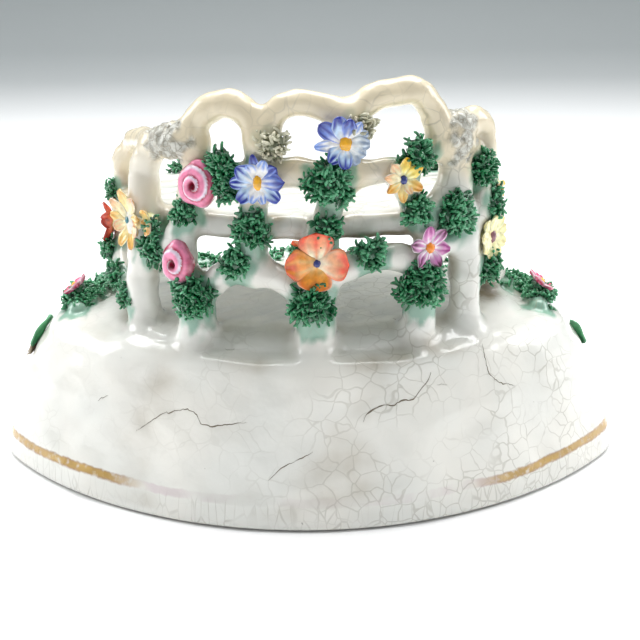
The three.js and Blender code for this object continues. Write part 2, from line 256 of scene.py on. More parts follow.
WALL_HALF_WIDTH = 40.5
WALL_DEPTH = 26.8
WALL_LEAN = 0.0006
SIDE_RUN = 0.47

# Posts and arches: points of angle round the wall, height, radius and stand-off
ARCADE = {
    "outer_left_post": [(-107, 32, 3.4), (-105.5, 42, 2.7), (-104, 51, 2.6), (-101, 60, 2.5),
                        (-97, 65, 2.4, -0.8), (-90, 69, 2.3, -3.4), (-73, 70.8, 2.3, -5.2),
                        (-57, 71.6, 2.3, -3), (-48, 72.2, 2.2, -0.6)],
    "left_cross": [(-57, 38, 2.8), (-68, 42, 2.4), (-82, 46, 2.4), (-96, 51, 2.4), (-103, 55, 2.4)],
    "left_post": [(-55.5, 31.5, 3.9), (-55.5, 38, 3.1), (-56, 46, 2.9), (-54, 52, 3.3),
                  (-52.5, 57, 3.6), (-51.5, 62, 3.2), (-51.5, 66.5, 2.8), (-46, 71, 2.7),
                  (-38.5, 72.8, 2.7), (-32.5, 72.5, 2.6)],
    "left_link": [(-56, 45, 2.5), (-50, 50, 2.6), (-44, 52.5, 2.8), (-38, 51, 2.5)],
    "second_post": [(-32.5, 31.5, 4.6), (-32, 38, 3.8), (-34, 43, 3.5), (-37, 48.5, 3.3),
                    (-37.5, 54, 3), (-33.5, 60, 2.7), (-31, 66.5, 2.6), (-30.5, 70, 2.5),
                    (-32, 73, 2.6)],
    "low_arch_left": [(-32.5, 41, 2.8), (-28, 45.5, 2.7), (-21, 48.3, 2.7), (-14, 48.9, 2.7),
                      (-7, 47.5, 2.7), (-1, 44, 2.7), (2, 39.5, 2.7)],
    "middle_stem": [(-14, 49, 2.9), (-15, 56.8, 2.9), (-13, 65.5, 2.8), (-11.2, 73, 2.7)],
    "upper_arch_left": [(-31, 64, 2.6), (-27, 66, 2.7), (-22, 66.8, 2.8), (-13, 65.5, 2.8)],
    "upper_arch_middle": [(-13, 65.5, 2.8), (-6, 67.4, 2.8), (0, 67.4, 2.8), (7, 65.6, 2.8)],
    "middle_post": [(2, 31.5, 4.9), (2.3, 37, 4.1), (2.7, 43, 3.7), (3.2, 50, 3.3), (5, 56, 2.9),
                    (7, 62, 2.7), (8.7, 66, 2.7), (10, 71, 2.6), (10.7, 76, 2.6)],
    "low_arch_right": [(2.5, 43.5, 2.7), (7.5, 48, 2.6), (14, 50.3, 2.6), (20, 51, 2.6),
                       (26, 50.8, 2.6), (31, 49, 2.6), (35, 45, 2.6)],
    "fourth_post": [(33, 32, 4.2), (33, 38, 3.4), (33, 43, 3.2), (35.5, 48.5, 2.9),
                    (36, 52.5, 2.6), (33.5, 58, 2.4), (30, 61.5, 2.3), (27.5, 65, 2.4),
                    (23, 67.6, 2.5), (17, 67.2, 2.5), (7.5, 65.5, 2.6)],
    "fourth_link": [(36, 50, 2.3), (42, 52.5, 2.3), (51, 51, 2.3)],
    "cross_to_right_post": [(33.5, 57.5, 2.3), (38, 60.5, 2.3), (47, 64, 2.3)],
    "cross_to_right_node": [(27.5, 65.5, 2.3), (31, 69, 2.3), (37, 70.5, 2.3), (44.5, 72, 2.5)],
    "right_post": [(52.5, 33, 4), (52.3, 39, 3.2), (51.5, 48, 3), (49, 56.3, 3), (46.5, 65, 3),
                   (44.7, 73, 3)],
    "outer_right_post": [(106, 32, 3.4), (97, 38, 2.7), (80, 43, 2.6), (70, 49, 2.6),
                         (64, 54, 2.5), (59, 58, 2.4), (59.5, 62, 2.3), (57, 67, 2.4),
                         (52, 70.5, 2.4), (45, 72.5, 2.4)],
    "right_link": [(51.5, 45, 2.4), (60, 49.5, 2.4), (69, 49.5, 2.4)],
    "right_cross": [(51, 53, 2.3), (58, 57.5, 2.3), (68, 57, 2.3)],
    "crown_one": [(-32.2, 72.5, 2.6), (-30.4, 76, 2.6), (-26, 78.8, 2.7), (-20.2, 79.6, 2.7),
                  (-14.5, 77.8, 2.6), (-11.2, 73.5, 2.6)],
    "crown_two": [(-11.2, 73, 2.6), (-8.9, 77, 2.5), (-4.5, 79.5, 2.4), (0, 80, 2.4),
                  (5, 79.3, 2.4), (8.5, 77.8, 2.5), (10.7, 75, 2.6)],
    "crown_three": [(10.7, 75, 2.6), (12.8, 78, 2.5), (18.8, 80.6, 2.5), (26.8, 81.8, 2.5),
                    (33, 80.5, 2.5), (37, 77.5, 2.5), (39.4, 74.2, 2.6), (43.5, 71.5, 2.6)],
    "crown_four": [(44.7, 73, 2.6), (49, 75.2, 2.5), (55, 75.6, 2.4), (60, 74, 2.3),
                   (63, 70.5, 2.2), (65, 66, 2.1), (67, 61, 2.1), (69, 56, 2.2), (69, 49, 2.4)],
}

BENCH_UNDERSIDE = 54.3
BENCH_THICKNESS = 4.8
BENCH_HALF_WIDTH = 40
BENCH_BACK = 24.8
BENCH_FRONT = 22
BENCH_CORNER_POWER = 5

BANK_HALF_WIDTH = 51.3
BANK_DEPTH = 29.6
BANK_START = -16
BANK_HEIGHT = 33.6
BANK_RADIUS = 2.9


def base_outline(turn, half_width, half_depth):
    """The base's outline: an oval drawn to a point at each end, with the point blunted."""
    across = np.cos(turn)
    s = np.sin(turn)
    over = np.maximum(0, np.abs(across) - BLUNT_FROM)
    blunted = np.sign(across) * (np.abs(across) - BLUNT_BY * over ** 2)
    along = np.sign(s) * np.abs(s) ** OUTLINE_POWER
    return np.stack([half_width * BLUNT_WIDEN * blunted, half_depth * along], axis=-1)


def bench_outline(turn):
    c = np.cos(turn)
    s = np.sin(turn)
    power = 2 / BENCH_CORNER_POWER
    x = np.where(s < 0, c, np.sign(c) * np.abs(c) ** power) * BENCH_HALF_WIDTH
    y = np.where(s < 0, BENCH_BACK * s, BENCH_FRONT * np.abs(s) ** power)
    return np.stack([x, y], axis=-1)


def wall_point(angle, height, outward=0.0):
    lean = 1 - WALL_LEAN * (height - BASE_HEIGHT)
    a = WALL_HALF_WIDTH * lean + outward
    b = WALL_DEPTH * lean + outward
    if abs(angle) > 90:
        return np.array([math.copysign(a, angle), (abs(angle) - 90) * SIDE_RUN, height])
    turn = math.radians(angle)
    return np.array([a * math.sin(turn), -b * math.cos(turn), height])


def wall_normal(angle):
    turn = math.radians(max(-90, min(90, angle)))
    out = np.array([math.sin(turn) / WALL_HALF_WIDTH, -math.cos(turn) / WALL_DEPTH, 0])
    return out / np.linalg.norm(out)


def curve_through(points, step):
    """Points about `step` apart on a centripetal Catmull-Rom curve, with their span and share."""
    points = [np.asarray(p, float) for p in points]
    padded = [2 * points[0] - points[1], *points, 2 * points[-1] - points[-2]]
    places = []
    shares = []
    for i in range(len(points) - 1):
        p0, p1, p2, p3 = padded[i:i + 4]
        d0, d1, d2 = (np.linalg.norm(b - a) ** 0.5 for a, b in ((p0, p1), (p1, p2), (p2, p3)))
        t1 = ((p1 - p0) / d0 - (p2 - p0) / (d0 + d1) + (p2 - p1) / d1) * d1
        t2 = ((p2 - p1) / d1 - (p3 - p1) / (d1 + d2) + (p3 - p2) / d2) * d1
        steps = max(2, round(np.linalg.norm(p2 - p1) / step))
        for k in range(steps + (i == len(points) - 2)):
            t = k / steps
            places.append(p1 + t1 * t + (-3 * p1 + 3 * p2 - 2 * t1 - t2) * t ** 2
                          + (2 * p1 - 2 * p2 + t1 + t2) * t ** 3)
            shares.append(i + t)
    return np.array(places), np.array(shares)


# ---------------------------------------------------------------- the fired body, as a distance field

GRID_STEP = 0.55
GRID_LOW = np.array([-73.0, -43.0, -1.65])
GRID_HIGH = np.array([73.0, 43.0, 87.0])
TUBE_REACH = 4.0  # how far from a tube its distance is worked out
FILLET = 2.0


class Field:
    """Distance to the clay's surface on a grid: below zero is inside."""

    def __init__(self):
        counts = np.ceil((GRID_HIGH - GRID_LOW) / GRID_STEP).astype(int) + 1
        self.axes = [GRID_LOW[k] + GRID_STEP * np.arange(counts[k]) for k in range(3)]
        self.values = np.full(counts, TUBE_REACH * 2, np.float32)

    def block(self, low, high):
        """Slices and coordinates of the grid points between two corners."""
        start = np.maximum(0, np.floor((low - GRID_LOW) / GRID_STEP).astype(int))
        stop = np.minimum(self.values.shape, np.ceil((high - GRID_LOW) / GRID_STEP).astype(int) + 1)
        slices = tuple(slice(a, b) for a, b in zip(start, stop))
        x, y, z = (axis[s] for axis, s in zip(self.axes, slices))
        return slices, x[:, None, None], y[None, :, None], z[None, None, :]

    def add_chain(self, places, radii, blend):
        """Joins a tube through the places to what is there, with a fillet."""
        reach = radii.max() + TUBE_REACH
        whole, *_ = self.block(places.min(0) - reach, places.max(0) + reach)
        near = np.full(self.values[whole].shape, TUBE_REACH * 2, np.float32)
        origin = [s.start for s in whole]
        for a, b, ra, rb in zip(places[:-1], places[1:], radii[:-1], radii[1:]):
            margin = max(ra, rb) + TUBE_REACH
            part, x, y, z = self.block(np.minimum(a, b) - margin, np.maximum(a, b) + margin)
            local = tuple(slice(s.start - o, s.stop - o) for s, o in zip(part, origin))
            span = b - a
            dx, dy, dz = x - a[0], y - a[1], z - a[2]
            t = np.clip((dx * span[0] + dy * span[1] + dz * span[2]) / (span @ span), 0, 1)
            gap = (dx - t * span[0]) ** 2 + (dy - t * span[1]) ** 2 + (dz - t * span[2]) ** 2
            near[local] = np.minimum(near[local], np.sqrt(gap) - (ra + t * (rb - ra)))
        self.values[whole] = smooth_min(self.values[whole], near, blend)

    def sample(self, points):
        """Distance at any points, between the grid's own."""
        at = np.clip((points - GRID_LOW) / GRID_STEP, 0, np.array(self.values.shape) - 1.001)
        cell = at.astype(int)
        share = at - cell
        total = np.zeros(len(points))
        for corner in np.ndindex(2, 2, 2):
            weight = np.prod(np.where(corner, share, 1 - share), axis=1)
            index = tuple((cell + corner).T)
            total += weight * self.values[index]
        return total

    def slope(self, points, step=0.35):
        """Unit direction in which the distance grows: the surface's outward normal."""
        way = np.stack([
            self.sample(points + step * unit) - self.sample(points - step * unit)
            for unit in np.eye(3)], axis=1)
        return way / np.maximum(np.linalg.norm(way, axis=1), 1e-6)[:, None]

    def settle(self, points, lift=0.0, rounds=3):
        """Moves points to `lift` above the surface, along its normal."""
        for _ in range(rounds):
            points = points - ((self.sample(points) - lift)[:, None]) * self.slope(points)
        return points

    def nets(self):
        """The surface as quads, one vertex in each grid cell that it crosses."""
        f = self.values
        inside = f < 0
        corners = [c for c in np.ndindex(2, 2, 2)]
        size = np.array(f.shape) - 1
        count = sum(
            inside[tuple(slice(c, c + n) for c, n in zip(corner, size))].astype(np.int8)
            for corner in corners)
        cells = np.argwhere((count > 0) & (count < 8))
        number = np.full(size, -1, np.int64)
        number[tuple(cells.T)] = np.arange(len(cells))
        total = np.zeros((len(cells), 3))
        hits = np.zeros(len(cells))
        for a in corners:
            for axis in range(3):
                if a[axis]:
                    continue
                b = tuple(c + (k == axis) for k, c in enumerate(a))
                fa = f[tuple((cells + a).T)]
                fb = f[tuple((cells + b).T)]
                cut = (fa < 0) != (fb < 0)
                point = np.tile(np.array(a, float), (cut.sum(), 1))
                point[:, axis] += fa[cut] / (fa[cut] - fb[cut])
                total[cut] += point
                hits[cut] += 1
        points = GRID_LOW + GRID_STEP * (cells + total / hits[:, None])
        quads = []
        for axis in range(3):
            u, v = (axis + 1) % 3, (axis + 2) % 3
            first = tuple(slice(0, -1) if k == axis else slice(1, -1) for k in range(3))
            second = tuple(slice(1, None) if k == axis else slice(1, -1) for k in range(3))
            for flip, change in ((False, inside[first] & ~inside[second]),
                                 (True, ~inside[first] & inside[second])):
                at = np.argwhere(change)
                at[:, [u, v]] += 1
                ring = []
                for du, dv in ((1, 1), (0, 1), (0, 0), (1, 0)):
                    cell = at.copy()
                    cell[:, u] -= du
                    cell[:, v] -= dv
                    ring.append(number[tuple(cell.T)])
                quad = np.stack(ring, axis=1)
                quads.append(quad[:, ::-1] if flip else quad)
        return points, np.concatenate(quads)


def outline_distance(outline, x, y):
    """Distance from grid points to a closed outline, below zero inside it."""
    nearest = np.full(np.broadcast_shapes(x.shape, y.shape), 1e9)
    inside = np.zeros(nearest.shape, bool)
    for (ax, ay), (bx, by) in zip(outline, np.roll(outline, -1, axis=0)):
        ex, ey = bx - ax, by - ay
        px, py = x - ax, y - ay
        t = np.clip((px * ex + py * ey) / (ex * ex + ey * ey), 0, 1)
        nearest = np.minimum(nearest, (px - t * ex) ** 2 + (py - t * ey) ** 2)
        if ey:
            inside ^= ((ay > y) != (by > y)) & (x < ax + py * ex / ey)
    return np.where(inside, -1, 1) * np.sqrt(nearest)


def add_base(field):
    x, y = field.axes[0][:, None], field.axes[1][None, :]
    turns = np.linspace(0, 2 * math.pi, 240, endpoint=False)
    outline = base_outline(turns, BASE_HALF_WIDTH, BASE_HALF_DEPTH)
    flat = outline_distance(outline, x, y)
    radius = np.hypot(x / MOUND_HALF_WIDTH, y / MOUND_HALF_DEPTH)
    top = BASE_HEIGHT + np.interp(radius, *MOUND_PROFILE.T)
    for k, z in enumerate(field.axes[2]):
        if z > BASE_HEIGHT + 12:
            break
        half_width, half_depth = (np.interp(z, BASE_LEVELS[:, 0], BASE_LEVELS[:, j]) for j in (1, 2))
        sx, sy = BASE_HALF_WIDTH / half_width, BASE_HALF_DEPTH / half_depth
        u = np.clip((x * sx - field.axes[0][0]) / GRID_STEP, 0, flat.shape[0] - 1.001)
        v = np.clip((y * sy - field.axes[1][0]) / GRID_STEP, 0, flat.shape[1] - 1.001)
        i, j = u.astype(int), v.astype(int)
        su, sv = u - i, v - j
        wall = (flat[i, j] * (1 - su) * (1 - sv) + flat[i + 1, j] * su * (1 - sv)
                + flat[i, j + 1] * (1 - su) * sv + flat[i + 1, j + 1] * su * sv)
        side = wall / math.sqrt(sx * sy) * 0.93
        layer = smooth_max(side, (z - top) * 0.9, 2.6)
        layer = smooth_max(layer, -z, 0.9)
        field.values[:, :, k] = np.minimum(field.values[:, :, k], layer)


def add_bench(field):
    turns = np.linspace(0, 2 * math.pi, 160, endpoint=False)
    low = np.array([-44, -29, BENCH_UNDERSIDE - 4])
    high = np.array([44, 26, BENCH_UNDERSIDE + BENCH_THICKNESS + 4])
    part, x, y, z = field.block(low, high)
    wall = outline_distance(bench_outline(turns), x[:, :, 0], y[:, :, 0])[:, :, None]
    middle = BENCH_UNDERSIDE + BENCH_THICKNESS / 2
    slab = smooth_max(wall, np.abs(z - middle) - BENCH_THICKNESS / 2, 2.0)
    field.values[part] = smooth_min(field.values[part], slab, 1.2)


def bank_point(share):
    turn = math.radians(BANK_START + share * (180 - 2 * BANK_START))
    x, y = base_outline(np.array(turn), BANK_HALF_WIDTH, BANK_DEPTH)
    return np.array([x, y, BANK_HEIGHT])


def add_bank(field):
    shares = np.linspace(0, 1, 150)
    places = np.array([bank_point(s) for s in shares])
    swell = 1 + 0.1 * waves(places, 9, 5)
    fade = np.minimum(1, 0.6 + 6 * np.minimum(shares, 1 - shares))
    field.add_chain(places, BANK_RADIUS * swell * fade, 1.2)


# Rough lumps of later filling at two nodes of the crown: angle, height and radius
REPAIRS = [(-39.5, 72.8, 3.1), (-35.5, 72.8, 3.2), (43.5, 71.8, 3.3), (45, 74.6, 3.1)]


def build_field():
    field = Field()
    add_base(field)
    add_bench(field)
    add_bank(field)
    rng = np.random.default_rng(11)
    for path in ARCADE.values():
        knots = [wall_point(angle, height, *rest[1:]) for angle, height, *rest in path]
        places, spans = curve_through(knots, 1.3)
        radii = np.interp(spans, range(len(path)), [p[2] for p in path])
        wobble = waves(places, 11, int(rng.integers(1000)))
        places = places + 0.12 * waves(places, 9, 3)[:, None] * rng.normal(size=3)
        field.add_chain(places, radii * (1 + 0.03 * wobble), FILLET)
    for angle, height, radius in REPAIRS:
        place = wall_point(angle, height, 0.2)
        field.add_chain(np.array([place, place + [0.4, 0, 0.2]]), np.full(2, radius), 1.0)
    return field


def relax(points, quads, rounds):
    """Evens out the points by moving each towards the middle of its neighbours."""
    a = np.concatenate([quads[:, k] for k in range(4)])
    b = np.concatenate([quads[:, (k + 1) % 4] for k in range(4)])
    count = np.bincount(a, minlength=len(points)) + np.bincount(b, minlength=len(points))
    for _ in range(rounds):
        mean = np.stack([
            np.bincount(a, points[b, k], len(points)) + np.bincount(b, points[a, k], len(points))
            for k in range(3)], axis=1) / count[:, None]
        points = points + 0.6 * (mean - points)
    return points


def repair_mask(points):
    """1 on the rough fillings at the two crown nodes."""
    best = np.zeros(len(points))
    for angle, height, radius in REPAIRS:
        gap = np.linalg.norm(points - wall_point(angle, height, 0.8), axis=1)
        ragged = gap + 0.7 * waves(points, 3.5, 21)
        best = np.maximum(best, 1 - smoothstep(radius + 0.2, radius + 1.4, ragged))
    return best


def body_relief(points):
    """Height of the hand-made unevenness at points on the body."""
    arcade = smoothstep(33.5, 38, points[:, 2])
    foot = smoothstep(0.4, 3, points[:, 2])
    coarse = 0.22 * waves(points, 26, 1) + 0.07 * waves(points, 9, 2)
    fine = 0.1 * waves(points, 8, 3) + 0.045 * waves(points, 3.2, 4)
    rough = 0.16 * waves(points, 1.9, 6) + 0.1 * waves(points, 1.3, 7)
    return (1 - arcade) * foot * coarse + arcade * fine + repair_mask(points) * rough


# The crevice share paints the glaze brown in hollows: dirt and painted shade together.
def crevice(field, points, normals):
    """Share of the near space above each point that clay fills, from 0 to 1."""
    total = np.zeros(len(points))
    for reach, weight in ((0.8, 0.2), (1.7, 0.3), (3.2, 0.3), (5.5, 0.2)):
        gap = field.sample(points + normals * reach)
        total += weight * np.clip((reach - gap) / reach, 0, 1)
    return total


def make_body(field):
    points, quads = field.nets()
    points = relax(points, quads, 2)
    points = field.settle(points, rounds=1)
    points[:, 2] = np.maximum(points[:, 2], 0)
    normals = field.slope(points)
    points = points + normals * body_relief(points)[:, None]
    points[:, 2] = np.maximum(points[:, 2], 0)
    piece = new_mesh("glazed_body", points, quads=quads)
    reduce = piece.modifiers.new("reduce", "DECIMATE")
    reduce.ratio = BODY_TRIANGLES / (2 * len(quads))
    reduced = bpy.data.meshes.new_from_object(
        piece.evaluated_get(bpy.context.evaluated_depsgraph_get()))
    piece.modifiers.clear()
    piece.data = reduced
    reduced.shade_smooth()
    return piece


BODY_TRIANGLES = 192000


def mesh_points(piece):
    count = len(piece.data.vertices)
    points = np.empty(count * 3)
    normals = np.empty(count * 3)
    piece.data.vertices.foreach_get("co", points)
    piece.data.vertex_normals.foreach_get("vector", normals)
    return points.reshape(-1, 3) / MM, normals.reshape(-1, 3)


def glaze_material():
    s = Shader("lead_glaze")
    split = s.node("ShaderNodeSeparateXYZ")
    s.put(split.inputs[0], s.place)
    x, y, z = split.outputs
    cream = s.attribute("cream")
    shade = s.attribute("crevice")
    repair = s.attribute("repair")
    stain = s.attribute("stain")
    mottle = s.noise(7, 4)
    blotch = s.noise(22, 3)

    colour = s.mix(s.span(blotch, 0.35, 0.7), (0.74, 0.745, 0.70), (0.79, 0.775, 0.715))
    warm = s.mix(mottle, (0.70, 0.60, 0.42), (0.77, 0.69, 0.51))
    colour = s.mix(cream, colour, warm)
    # Painted shade with dirt: hollows and creases are painted a mottled warm brown according to their
    # crevice share. This stands partly for dirt and pooled glaze, and partly for the shade that falls in
    # them.
    hollow_dirt_and_shade = s.mix(mottle, (0.27, 0.215, 0.14), (0.42, 0.36, 0.26))
    deep = s.math("MULTIPLY", s.span(shade, 0.12, 0.75), s.span(s.noise(4, 4), 0.2, 0.75, 0.45, 1.0))
    colour = s.mix(deep, colour, hollow_dirt_and_shade)
    colour = s.mix(s.math("MULTIPLY", stain, 0.75), colour, (0.10, 0.33, 0.22))

    # Crazing: a fine net that is plainest on the right and towards the foot
    bend = s.noise(6, 2, output="Color")
    bent = s.node("ShaderNodeVectorMath", operation="MULTIPLY_ADD")
    s.put(bent.inputs[0], bend)
    bent.inputs[1].default_value = (0.004, 0.004, 0.004)
    s.put(bent.inputs[2], s.place)
    net = s.span(s.cells(3.6, bent.outputs[0]), 0.012, 0.05, 1, 0)
    where = s.math("MULTIPLY", s.span(x, -0.03, 0.03, 0.25, 1), s.span(s.noise(14, 2), 0.38, 0.62))
    net = s.math("MULTIPLY", net, where)
    upright = s.cells(2.3, s.stretched((1, 1, 0.22)))
    bars = s.math("MULTIPLY", s.span(upright, 0.01, 0.05, 1, 0), s.span(z, 0.0045, 0.0068, 1, 0))
    bars = s.math("MULTIPLY", bars, s.span(s.noise(9, 2), 0.4, 0.6, 0.2, 1))
    lines = s.math("MAXIMUM", net, s.math("MULTIPLY", bars, 0.9))
    colour = s.mix(s.math("MULTIPLY", lines, 0.4), colour, (0.30, 0.28, 0.22))

    # Gilt line round the foot, worn through along the middle of the near side
    height = s.math("ADD", z, s.math("MULTIPLY", s.math("SUBTRACT", s.noise(16, 1), 0.5), 0.0014))
    off = s.math("ABSOLUTE", s.math("SUBTRACT", height, 0.0061))
    ragged = s.math("MULTIPLY", s.math("SUBTRACT", s.noise(1.3, 3), 0.5), 0.0007)
    band = s.span(s.math("ADD", off, ragged), 0.0006, 0.0011, 1, 0)
    far = s.math("ABSOLUTE", s.math("ADD", x, 0.0))
    kept = s.math("MAXIMUM", s.span(far, 0.031, 0.042), s.span(y, -0.005, 0.004))
    ghost = s.math("MULTIPLY", s.span(far, 0.005, 0.034, 0.12, 0.5), s.span(s.noise(8, 2), 0.35, 0.6))
    gilt = s.mix(s.noise(2.2, 4), (0.33, 0.20, 0.06), (0.62, 0.40, 0.10))
    edge = s.span(off, 0.0003, 0.0009)
    gilt = s.mix(s.math("MULTIPLY", edge, 0.55), gilt, (0.30, 0.18, 0.15))
    colour = s.mix(s.math("MULTIPLY", band, ghost), colour, (0.55, 0.42, 0.46))
    gold = s.math("MULTIPLY", band, kept)
    gold = s.math("MULTIPLY", gold, s.span(s.noise(1.6, 4), 0.25, 0.5, 0.35, 1))
    colour = s.mix(gold, colour, gilt)

    # Rough grey filling at the two mended nodes, with specks and hairs of dirt
    fill = s.mix(s.span(s.noise(1.1, 5), 0.35, 0.65), (0.28, 0.29, 0.26), (0.62, 0.64, 0.60))
    hairs = s.span(s.cells(1.5, bent.outputs[0]), 0.02, 0.09, 1, 0)
    fill = s.mix(s.math("MULTIPLY", hairs, 0.6), fill, (0.10, 0.09, 0.06))
    colour = s.mix(s.math("MULTIPLY", repair, 0.8), colour, fill)

    # Bare clay and grime at the very foot; the dark band is also painted shade where the foot turns under
    # onto the floor
    foot = s.span(s.math("ADD", z, s.math("MULTIPLY", s.noise(3, 3), 0.0006)), 0.0004, 0.0011, 1, 0)
    colour = s.mix(s.math("MULTIPLY", foot, 0.8), colour, (0.16, 0.15, 0.12))
    specks = s.span(s.noise(1.4, 1), 0.80, 0.84)
    colour = s.mix(s.math("MULTIPLY", specks, 0.5), colour, (0.12, 0.10, 0.07))
    s.set(Base_Color=colour)

    gloss = s.span(s.noise(5, 3), 0.3, 0.7, 0.09, 0.2)
    gloss = s.math("ADD", gloss, s.math("MULTIPLY", foot, 0.5))
    gloss = s.math("ADD", gloss, s.math("MULTIPLY", gold, 0.12))
    s.set(Roughness=gloss, IOR=1.52, Coat_Weight=0.35, Coat_Roughness=0.06)
    ripple = s.bump(s.noise(3.6, 2), 0.11)
    pits = s.bump(s.noise(0.8, 2), 0.02, ripple)
    rough = s.bump(s.math("MULTIPLY", s.noise(0.7, 4), repair), 0.5, pits)
    craze = s.bump(s.math("SUBTRACT", 1, lines), 0.015, rough)
    s.set(Normal=craze)
    return s.material


# ---------------------------------------------------------------- painted flowers, moss and leaves

FRONT_LIGHT = 0.60  # share of full light on the near side, where most colours were judged


def seen(r, g, b):
    """Surface colour that looks like this screen colour on the shaded near side."""
    value = np.array([r, g, b]) / 255
    linear = np.where(value < 0.04045, value / 12.92, ((value + 0.055) / 1.055) ** 2.4)
    return np.minimum(linear / FRONT_LIGHT, 0.9)


# Petal paints: at the heart, half way, at the tip, along the rim
PAINTS = {
    "cobalt": (seen(222, 226, 232), seen(150, 172, 212), seen(22, 38, 128), seen(120, 140, 195)),
    "cobalt_deep": (seen(205, 212, 225), seen(90, 112, 175), seen(18, 28, 112), seen(60, 80, 150)),
    "cobalt_pale": (seen(215, 220, 225), seen(196, 205, 220), seen(110, 135, 190), seen(215, 220, 225)),
    "frayed_grey": (seen(196, 200, 200), seen(172, 180, 184), seen(126, 140, 160), seen(96, 108, 130)),
    "orange": (seen(222, 185, 158), seen(214, 122, 80), seen(188, 62, 28), seen(120, 30, 18)),
    "salmon": (seen(226, 180, 155), seen(216, 138, 100), seen(190, 58, 24), seen(200, 90, 60)),
    "amber": (seen(186, 148, 92), seen(192, 120, 40), seen(182, 70, 24), seen(128, 62, 28)),
    "amber_pale": (seen(190, 150, 90), seen(196, 124, 36), seen(186, 96, 28), seen(214, 150, 130)),
    "yellow": (seen(212, 196, 150), seen(214, 172, 70), seen(226, 150, 26), seen(232, 205, 150)),
    "ochre": (seen(208, 192, 152), seen(196, 160, 84), seen(176, 120, 44), seen(226, 215, 190)),
    "pink_beige": (seen(205, 190, 160), seen(206, 178, 136), seen(200, 150, 112), seen(226, 212, 190)),
    "purple": (seen(212, 198, 208), seen(160, 98, 145), seen(72, 16, 52), seen(225, 216, 222)),
    "magenta": (seen(214, 200, 210), seen(176, 112, 158), seen(134, 52, 112), seen(232, 225, 230)),
    "primrose": (seen(200, 184, 140), seen(208, 194, 146), seen(196, 182, 126), seen(222, 212, 176)),
    "worn_ochre": (seen(190, 172, 132), seen(204, 176, 116), seen(190, 144, 70), seen(214, 196, 160)),
    "red": (seen(206, 120, 80), seen(198, 82, 50), seen(158, 40, 24), seen(120, 30, 22)),
    "pink": (seen(222, 180, 190), seen(204, 112, 140), seen(168, 50, 84), seen(226, 190, 200)),
    "leaf": (seen(30, 92, 56), seen(38, 112, 66), seen(24, 84, 50), seen(88, 150, 112)),
    "broken": (seen(110, 100, 84), seen(128, 116, 98), seen(96, 84, 66), seen(160, 150, 132)),
}
NAVY = seen(30, 44, 100)
OCHRE_HEART = seen(196, 142, 26)
ORANGE_HEART = seen(200, 112, 22)
PLUM_HEART = seen(112, 76, 84)
TEAL = seen(40, 96, 104)
MOSS_DARK = seen(10, 66, 38)
MOSS_MIDDLE = seen(22, 100, 58)
MOSS_PALE = seen(86, 156, 116)
MOSS_WORN = (seen(96, 100, 78), seen(150, 142, 118), seen(206, 198, 176))
CRIMSON = seen(140, 18, 48)
ROSE_PINK = seen(205, 112, 142)
# Painted highlight: this pale pink on the rose's rolled crests stands for the light on them.
ROSE_CREST_HIGHLIGHT = seen(230, 180, 194)

